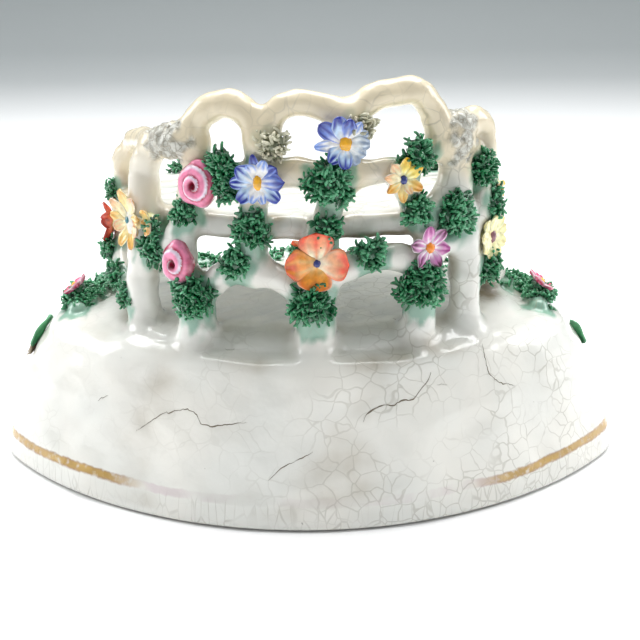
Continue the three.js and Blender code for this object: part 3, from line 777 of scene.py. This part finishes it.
# Flowers: angle, height and stand-off on the wall, then each petal as
# (bearing in degrees, length, width, paint), then the heart as (width, height, colour)
FLOWERS = [
    ((-11.3, 66.4, 3.1), 0.7, 0.25, [
        (98, 5.3, 2.0, "cobalt_deep"), (70, 4.4, 2.6, "cobalt_pale"), (143, 4.8, 3.4, "cobalt"),
        (180, 5.1, 2.6, "cobalt"), (224, 4.9, 3.0, "cobalt"), (252, 3.9, 2.4, "cobalt_pale"),
        (286, 4.0, 2.4, "cobalt_pale"), (322, 5.1, 3.0, "cobalt"), (3, 5.1, 3.2, "cobalt_deep"),
        (38, 4.6, 3.0, "cobalt_deep"), (120, 3.9, 3.0, "cobalt_pale")],
        (1.7, 2.9, OCHRE_HEART)),
    ((9.8, 73.2, 3.1), 0.9, 0.3, [
        (144, 6.0, 3.3, "cobalt_deep"), (108, 5.1, 3.6, "cobalt"), (80, 4.6, 3.0, "cobalt_deep"),
        (183, 5.7, 2.3, "cobalt_pale"), (227, 4.4, 3.2, "cobalt"), (268, 4.4, 2.8, "cobalt"),
        (300, 4.2, 2.8, "frayed_grey"), (330, 4.2, 3.0, "frayed_grey"), (0, 4.3, 3.0, "frayed_grey"),
        (28, 4.5, 2.8, "frayed_grey"), (54, 4.8, 2.4, "cobalt_pale")],
        (2.4, 2.8, OCHRE_HEART)),
    ((2.7, 51.5, 3.1), 1.3, 0.1, [
        (92, 6.1, 6.6, "orange"), (358, 6.0, 6.2, "salmon"), (182, 6.0, 6.0, "amber"),
        (262, 5.3, 6.6, "amber_pale")],
        (1.5, 1.5, NAVY)),
    ((24.5, 66.3, 3.1), 0.8, 0.75, [
        (84, 4.2, 2.5, "yellow"), (36, 4.3, 2.5, "yellow"), (332, 4.0, 2.4, "ochre"),
        (268, 4.2, 2.3, "worn_ochre"), (212, 4.0, 2.4, "ochre"), (170, 4.0, 2.3, "pink_beige"),
        (130, 4.0, 2.4, "pink_beige"), (300, 3.0, 1.8, "pink_beige")],
        (1.5, 1.7, NAVY)),
    ((32.5, 53.0, 3.1), 0.9, 0.6, [
        (165, 4.6, 2.8, "purple"), (98, 4.4, 3.0, "magenta"), (50, 4.6, 2.7, "purple"),
        (352, 4.3, 2.9, "magenta"), (298, 4.5, 2.7, "purple"), (232, 4.4, 2.8, "purple")],
        (2.0, 2.2, ORANGE_HEART)),
    ((60.0, 52.3, 2.4), 0.9, 0.15, [
        (k * 40 + 14, 4.6 + 0.25 * (k % 2), 2.9, "primrose") for k in range(9)],
        (1.8, 2.7, PLUM_HEART)),
    ((-53.0, 57.0, 2.8), 1.4, 0.3, [
        (98, 6.4, 3.0, "worn_ochre"), (62, 5.6, 2.6, "pink_beige"), (134, 5.6, 2.6, "pink_beige"),
        (170, 4.6, 2.4, "worn_ochre"), (208, 4.2, 2.4, "pink_beige"), (250, 5.6, 2.6, "worn_ochre"),
        (282, 5.8, 2.6, "ochre"), (322, 4.2, 2.4, "pink_beige"), (10, 4.2, 2.6, "worn_ochre")],
        (1.8, 1.8, TEAL)),
    ((-45.8, 57.2, 2.8), 1.0, 0.1, [
        (80, 2.6, 2.6, "worn_ochre"), (190, 2.6, 2.6, "pink_beige"), (310, 2.6, 2.8, "ochre")],
        (1.2, 1.2, seen(170, 130, 70))),
    ((-88.0, 52.5, 1.6), 1.6, 0.4, [
        (k * 72 + 20, 4.4, 3.6, "red") for k in range(5)],
        (1.8, 2.0, OCHRE_HEART)),
    ((66.0, 61.4, 2.2), 0.5, 0.2, [
        (40, 1.8, 1.8, "yellow"), (160, 1.8, 1.8, "ochre"), (280, 1.8, 1.8, "yellow")],
        (0.9, 0.9, ORANGE_HEART)),
]

# Roses: angle, height, stand-off, width, height, turns of the spiral
ROSES = [
    (-27.8, 65.5, 2.4, 7.4, 8.6, 2.3),
    (-35.0, 50.2, 2.4, 6.6, 8.4, 1.8),
]

# Tufts of moss: angle, height, size; the worn ones have lost most of their green
MOSS_TUFTS = [
    (-20.6, 69.3, 2.9), (-19.8, 65.0, 2.5), (-32.5, 59.6, 2.5), (-13.7, 57.6, 3.6),
    (-17.8, 51.0, 2.9), (-30.5, 43.7, 4.3), (6.1, 66.3, 4.2), (5.5, 57.6, 2.8), (1.4, 43.3, 4.3),
    (29.1, 70.3, 3.3), (29.7, 60.3, 2.9), (42.5, 58.8, 4.0), (16.6, 52.9, 3.0), (31.6, 45.5, 4.6),
    (54.0, 66.5, 3.1), (62.0, 57.8, 2.5), (60.0, 46.0, 3.3), (-45.0, 51.5, 2.6), (-84.0, 47.0, 2.5),
    (-70.0, 43.5, 2.5), (-60.0, 40.3, 2.4), (-99.0, 58.5, 2.1), (-44.0, 56.3, 1.8), (63.0, 61.0, 1.6),
]
WORN_TUFTS = [(-7.7, 72.9, 2.7), (13.4, 75.8, 2.6)]
BENCH_TUFTS = [(-30, 21, 2.4), (-11, 21, 2.4), (10, 21, 2.4), (29, 21, 2.4)]

# Flowers on the bank: share of the way from its right end, petals, radius, paint
BANK_FLOWERS = [(0.08, 5, 3.4, "pink"), (0.27, 6, 4.2, "yellow"), (0.5, 5, 4.8, "salmon"),
                (0.72, 7, 4.0, "cobalt"), (0.93, 5, 3.2, "pink")]

# Leaves on the slopes: bearing, height, length, turn, paint
LEAVES = [
    (9, 25, 6.5, 60, "leaf"), (181, 27, 9.0, -50, "leaf"), (38, 27, 9.0, 40, "leaf"),
    (74, 26.5, 9.0, -25, "leaf"), (106, 26.5, 9.0, 25, "leaf"), (142, 27, 9.0, -40, "leaf"),
    (186, 23.5, 5.0, -20, "broken"),
]


def loft(rings, first, last):
    """Points, quads and triangles of a closed skin through rings of points, tip to tip."""
    n, m = rings.shape[:2]
    step = np.arange(n - 1)[:, None] * m
    j = np.arange(m)
    k = (j + 1) % m
    quads = np.stack([step + j, step + k, step + m + k, step + m + j], axis=-1).reshape(-1, 4)
    end = (n - 1) * m
    tris = np.concatenate([
        np.stack([k, j, np.full(m, n * m)], axis=1),
        np.stack([end + j, end + k, np.full(m, n * m + 1)], axis=1)])
    return np.concatenate([rings.reshape(-1, 3), [first], [last]]), quads, tris


class Heap:
    """Points, faces and painted colours of one piece, gathered part by part."""

    def __init__(self):
        self.parts = []
        self.count = 0

    def add(self, skin, colours):
        points, quads, tris = skin
        colours = np.broadcast_to(colours, (len(points), 3))
        self.parts.append((points, quads + self.count, tris + self.count, colours))
        self.count += len(points)

    def piece(self, name, material, slot):
        points, quads, tris, colours = (np.concatenate(group) for group in zip(*self.parts))
        made = new_mesh(name, points, quads, tris, {"paint": colours})
        made.data.materials.append(material)
        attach(made, "root")
        return made


def facing(place, normal):
    """A frame on a surface: its place, the way right, the way up and the way out."""
    normal = np.asarray(normal, float) / np.linalg.norm(normal)
    right = np.cross((0, 0, 1), normal)
    right /= np.linalg.norm(right)
    return np.asarray(place, float), right, np.cross(normal, right), normal


def ball(heap, frame, half, colour, shift=(0, 0, 0), rough=0.0, seed=0):
    place, right, up, out = frame
    axes = np.stack([right, up, out])
    place = place + np.asarray(shift) @ axes
    polar = np.linspace(0, math.pi, 11)[1:-1, None]
    turn = np.linspace(0, 2 * math.pi, 18, endpoint=False)
    unit = np.stack([
        np.sin(polar) * np.cos(turn), np.sin(polar) * np.sin(turn),
        -np.cos(polar) * np.ones_like(turn)], axis=-1)
    swell = 1 + rough * waves(unit.reshape(-1, 3) * 4 + seed, 3, seed).reshape(*unit.shape[:2], 1)
    rings = place + (unit * swell * half) @ axes
    heap.add(loft(rings, place - out * half[2], place + out * half[2]), colour)


def petal(heap, frame, bearing, length, width, paint, cup, point, rng, fold=0.0):
    """One pressed-clay petal, thick in the middle, with its colour brushed from heart to tip."""
    place, right, up, out = frame
    turn = math.radians(bearing)
    along = right * math.cos(turn) + up * math.sin(turn)
    across = np.cross(out, along)
    s = np.linspace(0, 1, 20)[1:-1, None]
    j = np.linspace(0, 2 * math.pi, 24, endpoint=False)
    peak = 0.62 - 0.12 * point
    widen = 0.4 + 0.6 * smoothstep(0, peak, s)
    close = np.sqrt(np.clip(1 - (np.maximum(s - peak, 0) / (1 - peak)) ** 2, 0, 1))
    half = width / 2 * widen * close ** (1 + 0.9 * point)
    side = np.cos(j)
    front = np.sin(j)
    phase = rng.uniform(0, 6.3, 4)
    ripple = 0.1 * np.sin(7 * side + phase[0]) * s + 0.07 * np.sin(9 * s + 4 * side + phase[1])
    frill = 1 + 0.035 * np.sin(11 * s + phase[2]) * np.ones_like(side)
    lift = cup * s ** 1.6 + 0.12 * length * side ** 2 * s * (1 - 0.4 * s)
    lift = lift + fold * np.abs(side) * half + ripple
    thick = (0.42 + 0.1 * (1 - s)) * close ** 0.5
    rings = (place + (s * length * frill)[..., None] * along
             + (half * side * frill)[..., None] * across
             + (lift + thick * front * np.abs(front) ** 0.3)[..., None] * out)
    skin = loft(rings, place, place + along * length + out * cup)
    brush = 0.16 * np.sin(8 * side + phase[3]) + 0.08 * np.sin(17 * side + phase[0])
    s_all = np.clip(s + brush, 0, 1)[..., None] * np.ones((1, len(j), 1))
    heart, middle, tip, rim = paint
    colour = heart + (middle - heart) * smoothstep(0.12, 0.55, s_all)
    colour = colour + (tip - colour) * smoothstep(0.55, 0.86, s_all)
    edge = (smoothstep(0.8, 0.98, np.abs(side)) * np.ones_like(s))[..., None]
    colour = colour + (rim - colour) * edge * 0.7
    colour = np.concatenate([colour.reshape(-1, 3), [heart], [0.5 * (tip + rim)]])
    heap.add(skin, colour)


def rose(heap, frame, width, height, turns, seed):
    """A rolled rose: a dome with the edges of its petals winding in to the heart."""
    place, right, up, out = frame
    rng = np.random.default_rng(seed)
    r = np.linspace(0, 1, 30)[1:, None]
    turn = np.linspace(0, 2 * math.pi, 60, endpoint=False)
    wobble = 1 + 0.06 * np.sin(3 * turn + rng.uniform(0, 6)) + 0.04 * np.sin(5 * turn + 1)
    wound = (r * turns * wobble - turn / (2 * math.pi) + rng.uniform()) % 1
    lip = smoothstep(0.0, 0.85, wound) * (1 - smoothstep(0.9, 1.0, wound))
    rise = 2.4 * np.sqrt(np.clip(1 - (0.97 * r) ** 2, 0, 1)) + 0.55 * lip * (1 - 0.5 * r)
    rise = rise - 1.0 * (1 - smoothstep(0.0, 0.26, r))
    x = width / 2 * r * wobble * np.cos(turn)
    y = height / 2 * r * wobble * np.sin(turn)
    front = (place + x[..., None] * right + y[..., None] * up + rise[..., None] * out)[::-1]
    back_r = np.array([0.98, 0.85, 0.5])[:, None]
    back = (place + (width / 2 * back_r * wobble * np.cos(turn))[..., None] * right
            + (height / 2 * back_r * wobble * np.sin(turn))[..., None] * up
            + (np.array([-0.5, -1.1, -1.5])[:, None] * np.ones_like(turn))[..., None] * out)[::-1]
    rings = np.concatenate([back, front])
    heart = place + out * (rise[0].mean() - 0.1)
    skin = loft(rings, place - out * 1.6, heart)
    # Painted highlight on the crests of the rolled petal edges; crimson in the grooves and at the heart.
    pale = smoothstep(0.62, 0.9, wound)[..., None]
    deep = (1 - smoothstep(0.02, 0.3, wound))[..., None]
    streak = 0.5 + 0.5 * np.sin(9 * turn + 5 * r)[..., None]
    colour = ROSE_PINK + (ROSE_CREST_HIGHLIGHT - ROSE_PINK) * pale
    colour = colour + (CRIMSON - colour) * np.clip(deep * (0.75 + 0.25 * streak), 0, 1)
    core = (1 - smoothstep(0.12, 0.34, r))[..., None]
    colour = colour + (CRIMSON * 0.6 - colour) * core
    sides = (smoothstep(0.55, 0.95, np.abs(np.cos(turn + 0.4))) * smoothstep(0.7, 0.95, r))[..., None]
    colour = (colour + (CRIMSON - colour) * 0.7 * sides)[::-1]
    under = np.broadcast_to(CRIMSON, (3, len(turn), 3))
    colour = np.concatenate([under, colour]).reshape(-1, 3)
    heap.add(skin, np.concatenate([colour, [CRIMSON, CRIMSON * 0.5]]))


STRAND_SIDES = 6
STRAND_RINGS = 6


def strands(heap, roots, ways, lengths, radius, curl, low, high, rng):
    """Short curled threads of sieved clay standing on their roots, painted low to high."""
    count = len(roots)
    ways = ways / np.linalg.norm(ways, axis=1)[:, None]
    side = np.cross(ways, rng.normal(size=(count, 3)))
    side /= np.linalg.norm(side, axis=1)[:, None]
    flat = np.cross(ways, side)
    t = np.linspace(0, 1, STRAND_RINGS)[None, :, None]
    bend = (curl * rng.uniform(0.3, 1.0, count))[:, None, None]
    reach = np.asarray(lengths)[:, None, None]
    line = roots[:, None] + reach * (ways[:, None] * (t - 0.45 * bend * t ** 3)
                                     + bend * side[:, None] * t ** 2)
    tangent = ways[:, None] * (1 - 1.35 * bend * t ** 2) + 2 * bend * side[:, None] * t
    tangent /= np.linalg.norm(tangent, axis=2)[..., None]
    b = np.broadcast_to(flat[:, None], tangent.shape)
    a = np.cross(b, tangent)
    turn = np.linspace(0, 2 * math.pi, STRAND_SIDES, endpoint=False)
    thick = (radius * np.array([1, 1, 0.98, 0.95, 0.9, 0.7]))[None, :, None, None]
    thick = thick * rng.uniform(0.85, 1.15, count)[:, None, None, None]
    rings = line[:, :, None] + thick * (
        np.cos(turn)[None, None, :, None] * a[:, :, None]
        + np.sin(turn)[None, None, :, None] * b[:, :, None])
    tips = line[:, -1] + tangent[:, -1] * radius * 0.5
    heels = line[:, 0] - tangent[:, 0] * radius * 0.5
    m = STRAND_SIDES
    size = STRAND_RINGS * m
    points = np.concatenate([rings.reshape(-1, 3), heels, tips])
    _, quads, tris = loft(rings[0], heels[0], tips[0])
    base = np.arange(count)[:, None, None]
    quads = (quads[None] + base * size).reshape(-1, 4)
    tris = np.broadcast_to(tris[None], (count, *tris.shape)).copy()
    body_corner = tris < size
    is_heel = tris == size
    tris = np.where(body_corner, tris + base * size,
                    np.where(is_heel, count * size + base, count * size + count + base))
    share = (np.clip(t[..., 0] * 0.9 + rng.uniform(-0.35, 0.35, (count, 1)), 0, 1))[..., None]
    colour = low + (high - low) * share
    colour = np.repeat(colour, m, axis=1).reshape(-1, 3)
    colour = np.concatenate([colour, np.broadcast_to(low, (count, 3)), np.broadcast_to(high, (count, 3))])
    heap.add((points, quads, tris.reshape(-1, 3)), colour)


STRAND_RADIUS = 0.31


def tuft(heap, frame, size, rng, dark=MOSS_DARK, middle=MOSS_MIDDLE, pale=MOSS_PALE):
    """A tuft of moss: a few lobes of clay, each bristling with threads."""
    place, right, up, out = frame
    axes = np.stack([right, up, out])
    start = rng.uniform(0, 2 * math.pi)
    for k in range(4):
        turn = start + k * 2 * math.pi / 3
        off = 0 if k == 3 else 0.44 * size
        radius = size * (0.5 if k == 3 else rng.uniform(0.44, 0.56))
        shift = np.array([off * math.cos(turn), off * math.sin(turn), size * (0.22 if k == 3 else 0)])
        ball(heap, frame, (radius, radius, radius * 0.8), dark, shift, 0.1, k)
        count = int(30 * (radius / 1.5) ** 2)
        unit = rng.normal(size=(count, 3))
        unit[:, 2] = np.abs(unit[:, 2]) - 0.25
        unit /= np.linalg.norm(unit, axis=1)[:, None]
        roots = place + (shift + unit * [radius, radius, radius * 0.8]) @ axes
        ways = (unit + 0.45 * rng.normal(size=(count, 3))) @ axes
        ends = middle + (pale - middle) * rng.uniform(0, 0.8) ** 1.5
        strands(heap, roots, ways, size * 0.22 + rng.uniform(0.5, 1.3, count), STRAND_RADIUS, 0.9,
                dark, ends, rng)


def make_enamel(name, gloss=0.12, shine=0.5):
    s = Shader(name)
    paint = s.attribute("paint", "Color")
    wear = s.span(s.noise(1.1, 4), 0.3, 0.7, 0.82, 1.12)
    colour = s.mix(1.0, paint, wear, "MULTIPLY")
    s.set(Base_Color=colour, IOR=1.52, Coat_Weight=shine, Coat_Roughness=0.05)
    s.set(Roughness=s.span(s.noise(2.1, 3), 0.3, 0.7, gloss, gloss + 0.12))
    s.set(Normal=s.bump(s.noise(0.55, 3), 0.05))
    return s.material


def make_flowers():
    heap = Heap()
    rng = np.random.default_rng(8)
    for (angle, height, lift), cup, point, petals, (wide, high, colour) in FLOWERS:
        spot = facing(wall_point(angle, height, lift), wall_normal(angle))
        for k, (bearing, length, width, paint) in enumerate(petals):
            place = spot[0] + spot[3] * 0.12 * (k % 3)
            petal(heap, (place, *spot[1:]), bearing, length, width, PAINTS[paint], cup, point, rng)
        ball(heap, spot, (wide / 2, high / 2, 0.75), colour, (0, 0, 0.5), 0.05, 3)
        depth = lift / 2 + 0.4
        ball(heap, spot, (1.7, 1.7, depth / 2 + 0.6), PAINTS["primrose"][1], (0, 0, -depth / 2))
    for k, (angle, height, lift, wide, high, turns) in enumerate(ROSES):
        rose(heap, facing(wall_point(angle, height, lift), wall_normal(angle)), wide, high, turns, k)
    for share, count, radius, paint in BANK_FLOWERS:
        place = bank_point(share) + [0, 0, 4.0]
        out = (place[0] / BANK_HALF_WIDTH, place[1] / BANK_DEPTH, 1.3)
        spot = facing(place, out)
        for k in range(count):
            petal(heap, spot, 360 * k / count + 30 * share, radius, radius * 0.85, PAINTS[paint],
                  0.8, 0.3, rng)
        ball(heap, spot, (radius * 0.24, radius * 0.24, 0.7), OCHRE_HEART, (0, 0, 0.5))
        ball(heap, spot, (1.6, 1.6, 1.4), MOSS_DARK, (0, 0, -0.9))
    return heap.piece("painted_flowers", make_enamel("flower_enamel"), "flower_enamel")


def tuft_frames():
    """Where each tuft stands: its frame and size, and whether its green is worn."""
    frames = []
    for worn, rows in ((False, MOSS_TUFTS), (True, WORN_TUFTS)):
        for angle, height, size in rows:
            place = wall_point(angle, height, 2.2)
            frames.append((facing(place, wall_normal(angle)), size, worn))
    top = BENCH_UNDERSIDE + BENCH_THICKNESS
    for x, y, size in BENCH_TUFTS:
        frames.append((facing((x, y, top + 0.2), (0, 0.5, 1)), size, False))
    return frames


def make_moss():
    """The tufts on the wall and bench, left and right of the middle as a piece each."""
    left = Heap()
    right = Heap()
    rng = np.random.default_rng(4)
    for frame_of, size, worn in tuft_frames():
        heap = left if frame_of[0][0] < 0 else right
        tuft(heap, frame_of, size, rng, *(MOSS_WORN if worn else ()))
    enamel = make_enamel("moss_enamel", 0.1)
    left.piece("garland_moss_left", enamel, "moss_enamel")
    right.piece("garland_moss_right", enamel, "moss_enamel")


BANK_STRANDS = 1500


def make_bank_moss():
    heap = Heap()
    rng = np.random.default_rng(17)
    shares = rng.uniform(0.005, 0.995, BANK_STRANDS)
    places = np.array([bank_point(s) for s in shares])
    ahead = np.array([bank_point(s + 0.003) for s in shares]) - places
    ahead /= np.linalg.norm(ahead, axis=1)[:, None]
    out = np.stack([ahead[:, 1], -ahead[:, 0], np.zeros(len(ahead))], axis=1)
    turn = rng.uniform(-1.2, 1.45, BANK_STRANDS)[:, None]
    ways = out * np.sin(turn) + np.array([0, 0, 1]) * np.cos(turn)
    roots = FIELD.settle(places + ways * 3.4, -0.15)
    ways = ways + 0.5 * rng.normal(size=ways.shape)
    for k in range(12):
        pick = slice(k * BANK_STRANDS // 12, (k + 1) * BANK_STRANDS // 12)
        pale = MOSS_MIDDLE + (MOSS_PALE - MOSS_MIDDLE) * rng.uniform(0, 0.9)
        strands(heap, roots[pick], ways[pick], rng.uniform(1.0, 2.0, len(roots[pick])),
                STRAND_RADIUS * 1.1, 0.9, MOSS_DARK, pale, rng)
    return heap.piece("bank_moss", make_enamel("bank_enamel", 0.1), "moss_enamel")


def make_leaves():
    heap = Heap()
    rng = np.random.default_rng(23)
    for bearing, height, length, spin, paint in LEAVES:
        turn = math.radians(bearing)
        sizes = [np.interp(height, BASE_LEVELS[:, 0], BASE_LEVELS[:, j]) for j in (1, 2)]
        x, y = base_outline(np.array(turn), *sizes)
        place = FIELD.settle(np.array([[x, y, height]]), 0.35)
        out = FIELD.slope(place)[0]
        spot = facing(place[0], out)
        way = math.radians(spin)
        start = spot[0] - (spot[1] * math.cos(way) + spot[2] * math.sin(way)) * length / 2
        petal(heap, (start, *spot[1:]), spin, length, 4.4, PAINTS[paint], 0.1, 0.8, rng, fold=0.25)
    return heap.piece("slope_leaves", make_enamel("leaf_enamel"), "moss_enamel")


# ---------------------------------------------------------------- fire cracks

# Cracks as they run in the photo, in its pixels, with half widths in millimetres
CRACKS_IN_PHOTO = [
    (0.10, [(139, 430), (151, 422), (165, 413), (177, 410), (188, 408), (197, 410), (203, 417),
            (206, 422), (216, 424), (232, 422), (249, 420)]),
    (0.08, [(269, 479), (276, 472), (282, 466), (296, 459), (312, 451)]),
    (0.11, [(362, 420), (364, 414), (367, 411), (375, 406), (383, 403), (390, 404), (396, 400),
            (401, 398), (410, 397), (415, 391), (420, 385), (425, 379), (428, 371)]),
    (0.09, [(479, 348), (480, 355), (481, 362), (483, 369), (486, 375), (495, 381), (503, 384),
            (510, 385)]),
    (0.07, [(103, 400), (107, 397), (113, 395)]),
    (0.09, [(433, 384), (438, 383), (443, 384)]),
    (0.06, [(226, 352), (231, 353), (236, 352)]),
]


def photo_ray(px, py):
    """The line of sight through a pixel of the photo, from the camera's place."""
    right, up, forward = camera_axes()
    way = forward + right * ((px - IMAGE_SIZE / 2) / FOCAL_PIXELS) - up * (
        (py - IMAGE_SIZE / 2) / FOCAL_PIXELS)
    return np.array(CAMERA_PLACE), np.array(way.normalized())


def seen_on_clay(px, py):
    """The point of the clay that the photo shows at a pixel."""
    start, way = photo_ray(px, py)
    far = 90.0
    for _ in range(120):
        far += max(0.02, 0.6 * FIELD.sample((start + way * far)[None])[0])
    return start + way * far


def make_cracks():
    heap = Heap()
    for k, (half, pixels) in enumerate(CRACKS_IN_PHOTO):
        knots = [seen_on_clay(*p) for p in pixels]
        line, shares = curve_through(knots, 0.45)
        jitter = 0.14 * waves(line, 1.3, k)[:, None] * np.array([0.6, 0, 0.8])
        line = FIELD.settle(line + jitter, 0.0)
        out = FIELD.slope(line)
        line = line + out * body_relief(line)[:, None]
        ahead = np.gradient(line, axis=0)
        ahead /= np.linalg.norm(ahead, axis=1)[:, None]
        side = np.cross(out, ahead)
        taper = np.clip(np.minimum(np.arange(len(line)), np.arange(len(line))[::-1]) / 4, 0.15, 1)
        wide = (half * taper * (1 + 0.35 * waves(line, 2.1, k + 9)))[:, None, None]
        turn = np.linspace(0, 2 * math.pi, 6, endpoint=False)[None, :, None]
        rings = line[:, None] + wide * np.cos(turn) * side[:, None] + 0.07 * np.sin(turn) * out[:, None]
        # The ribbons are dark: dirt in the cracks, and painted shade of grooves that the body mesh is too
        # coarse to cut.
        heap.add(loft(rings[:, ::-1] if np.dot(np.cross(side[0], out[0]), ahead[0]) < 0 else rings,
                      line[0], line[-1]), seen(84, 76, 62))
    return heap.piece("fire_cracks", make_enamel("crack_dirt_and_groove_shade", 0.6, 0.0), "glaze")


def finish_body(piece):
    """Gives the body the numbers its glaze is painted by, and hands it to the frame."""
    points, normals = mesh_points(piece)
    upper = smoothstep(60, 70, points[:, 2] + 2.5 * waves(points, 14, 31))
    ends = smoothstep(33, 39, np.abs(points[:, 0])) * smoothstep(50, 60, points[:, 2])
    stain = np.zeros(len(points))
    for (place, *_), size, worn in tuft_frames():
        gap = points - place
        gap[:, 2] *= np.where(gap[:, 2] < 0, 0.75, 1.2)
        near = np.linalg.norm(gap, axis=1) + 0.5 * waves(points, 3, 40)
        stain = np.maximum(stain, (1 - smoothstep(size * 0.9 + 0.6, size * 1.15 + 1.6, near))
                           * (0.25 if worn else 1))
    for share in np.linspace(0, 1, 60):
        gap = np.linalg.norm(points - bank_point(share), axis=1) + 0.6 * waves(points, 4, 41)
        stain = np.maximum(stain, 1 - smoothstep(3.2, 4.6, gap))
    set_attributes(piece.data, floats={
        "cream": np.maximum(upper, 0.8 * ends) * smoothstep(36, 40, points[:, 2]),
        "crevice": crevice(FIELD, points, normals),
        "repair": repair_mask(points),
        "stain": stain,
    })
    piece.data.materials.clear()
    piece.data.materials.append(glaze_material())
    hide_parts("porcelain_bower")
    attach(piece, "root")


def make_stage():
    s = Shader("pale_floor")
    split = s.node("ShaderNodeSeparateXYZ")
    s.put(split.inputs[0], s.place)
    # Painted shade: the floor and wall are painted from near white close by to a darker blue-grey far
    # off, as the light falls away.
    far = s.span(split.outputs[1], 0.15, 1.5)
    s.set(Base_Color=s.mix(far, (0.93, 0.93, 0.93), (0.66, 0.71, 0.71)), Roughness=0.7)
    s.surface.inputs["Specular IOR Level"].default_value = 0.15
    profile = [(-1500, 0), (900, 0), (1100, 20), (1250, 80), (1340, 180), (1380, 320), (1390, 1500)]
    points = np.array([(x, y, z) for y, z in profile for x in (-2500.0, 2500.0)])
    quads = np.array([(2 * k, 2 * k + 1, 2 * k + 3, 2 * k + 2) for k in range(len(profile) - 1)])
    floor = new_mesh("floor", points, quads=quads)
    floor.data.materials.append(s.material)


def make_light():
    world = bpy.data.worlds.new("soft_room")
    world.use_nodes = True
    tree = world.node_tree
    back = next(n for n in tree.nodes if n.type == "BACKGROUND")
    coordinates = tree.nodes.new("ShaderNodeTexCoord")
    split = tree.nodes.new("ShaderNodeSeparateXYZ")
    tree.links.new(coordinates.outputs["Generated"], split.inputs[0])
    span = tree.nodes.new("ShaderNodeMapRange")
    span.interpolation_type = "SMOOTHSTEP"
    tree.links.new(split.outputs[1], span.inputs[0])
    for socket, value in zip(list(span.inputs)[1:5], (-0.7, 0.5, 0.35, 1.15)):
        socket.default_value = value
    tree.links.new(span.outputs[0], back.inputs["Strength"])
    back.inputs["Color"].default_value = (0.96, 0.98, 1.0, 1)
    bpy.context.scene.world = world
    for name, place, size, power in (
            ("top_softbox", (0, 150, 620), (700, 420), 5.5),
            ("left_softbox", (-520, 60, 260), (300, 300), 1.2),
            ("right_softbox", (520, 60, 260), (300, 300), 1.0)):
        data = bpy.data.lights.new(name, "AREA")
        data.shape = "RECTANGLE"
        data.size, data.size_y = size[0] * MM, size[1] * MM
        data.energy = power
        lamp = bpy.data.objects.new(name, data)
        way = Vector((0, 0, 40)) - Vector(place)
        lamp.matrix_world = (Matrix.Translation(Vector(place) * MM)
                             @ way.to_track_quat("-Z", "Y").to_matrix().to_4x4())
        bpy.context.scene.collection.objects.link(lamp)



make_camera()
FIELD = build_field()
finish_body(make_body(FIELD))
make_flowers()
make_moss()
make_bank_moss()
make_leaves()
make_cracks()
make_stage()
make_light()
bpy.context.scene.view_settings.view_transform = "Standard"
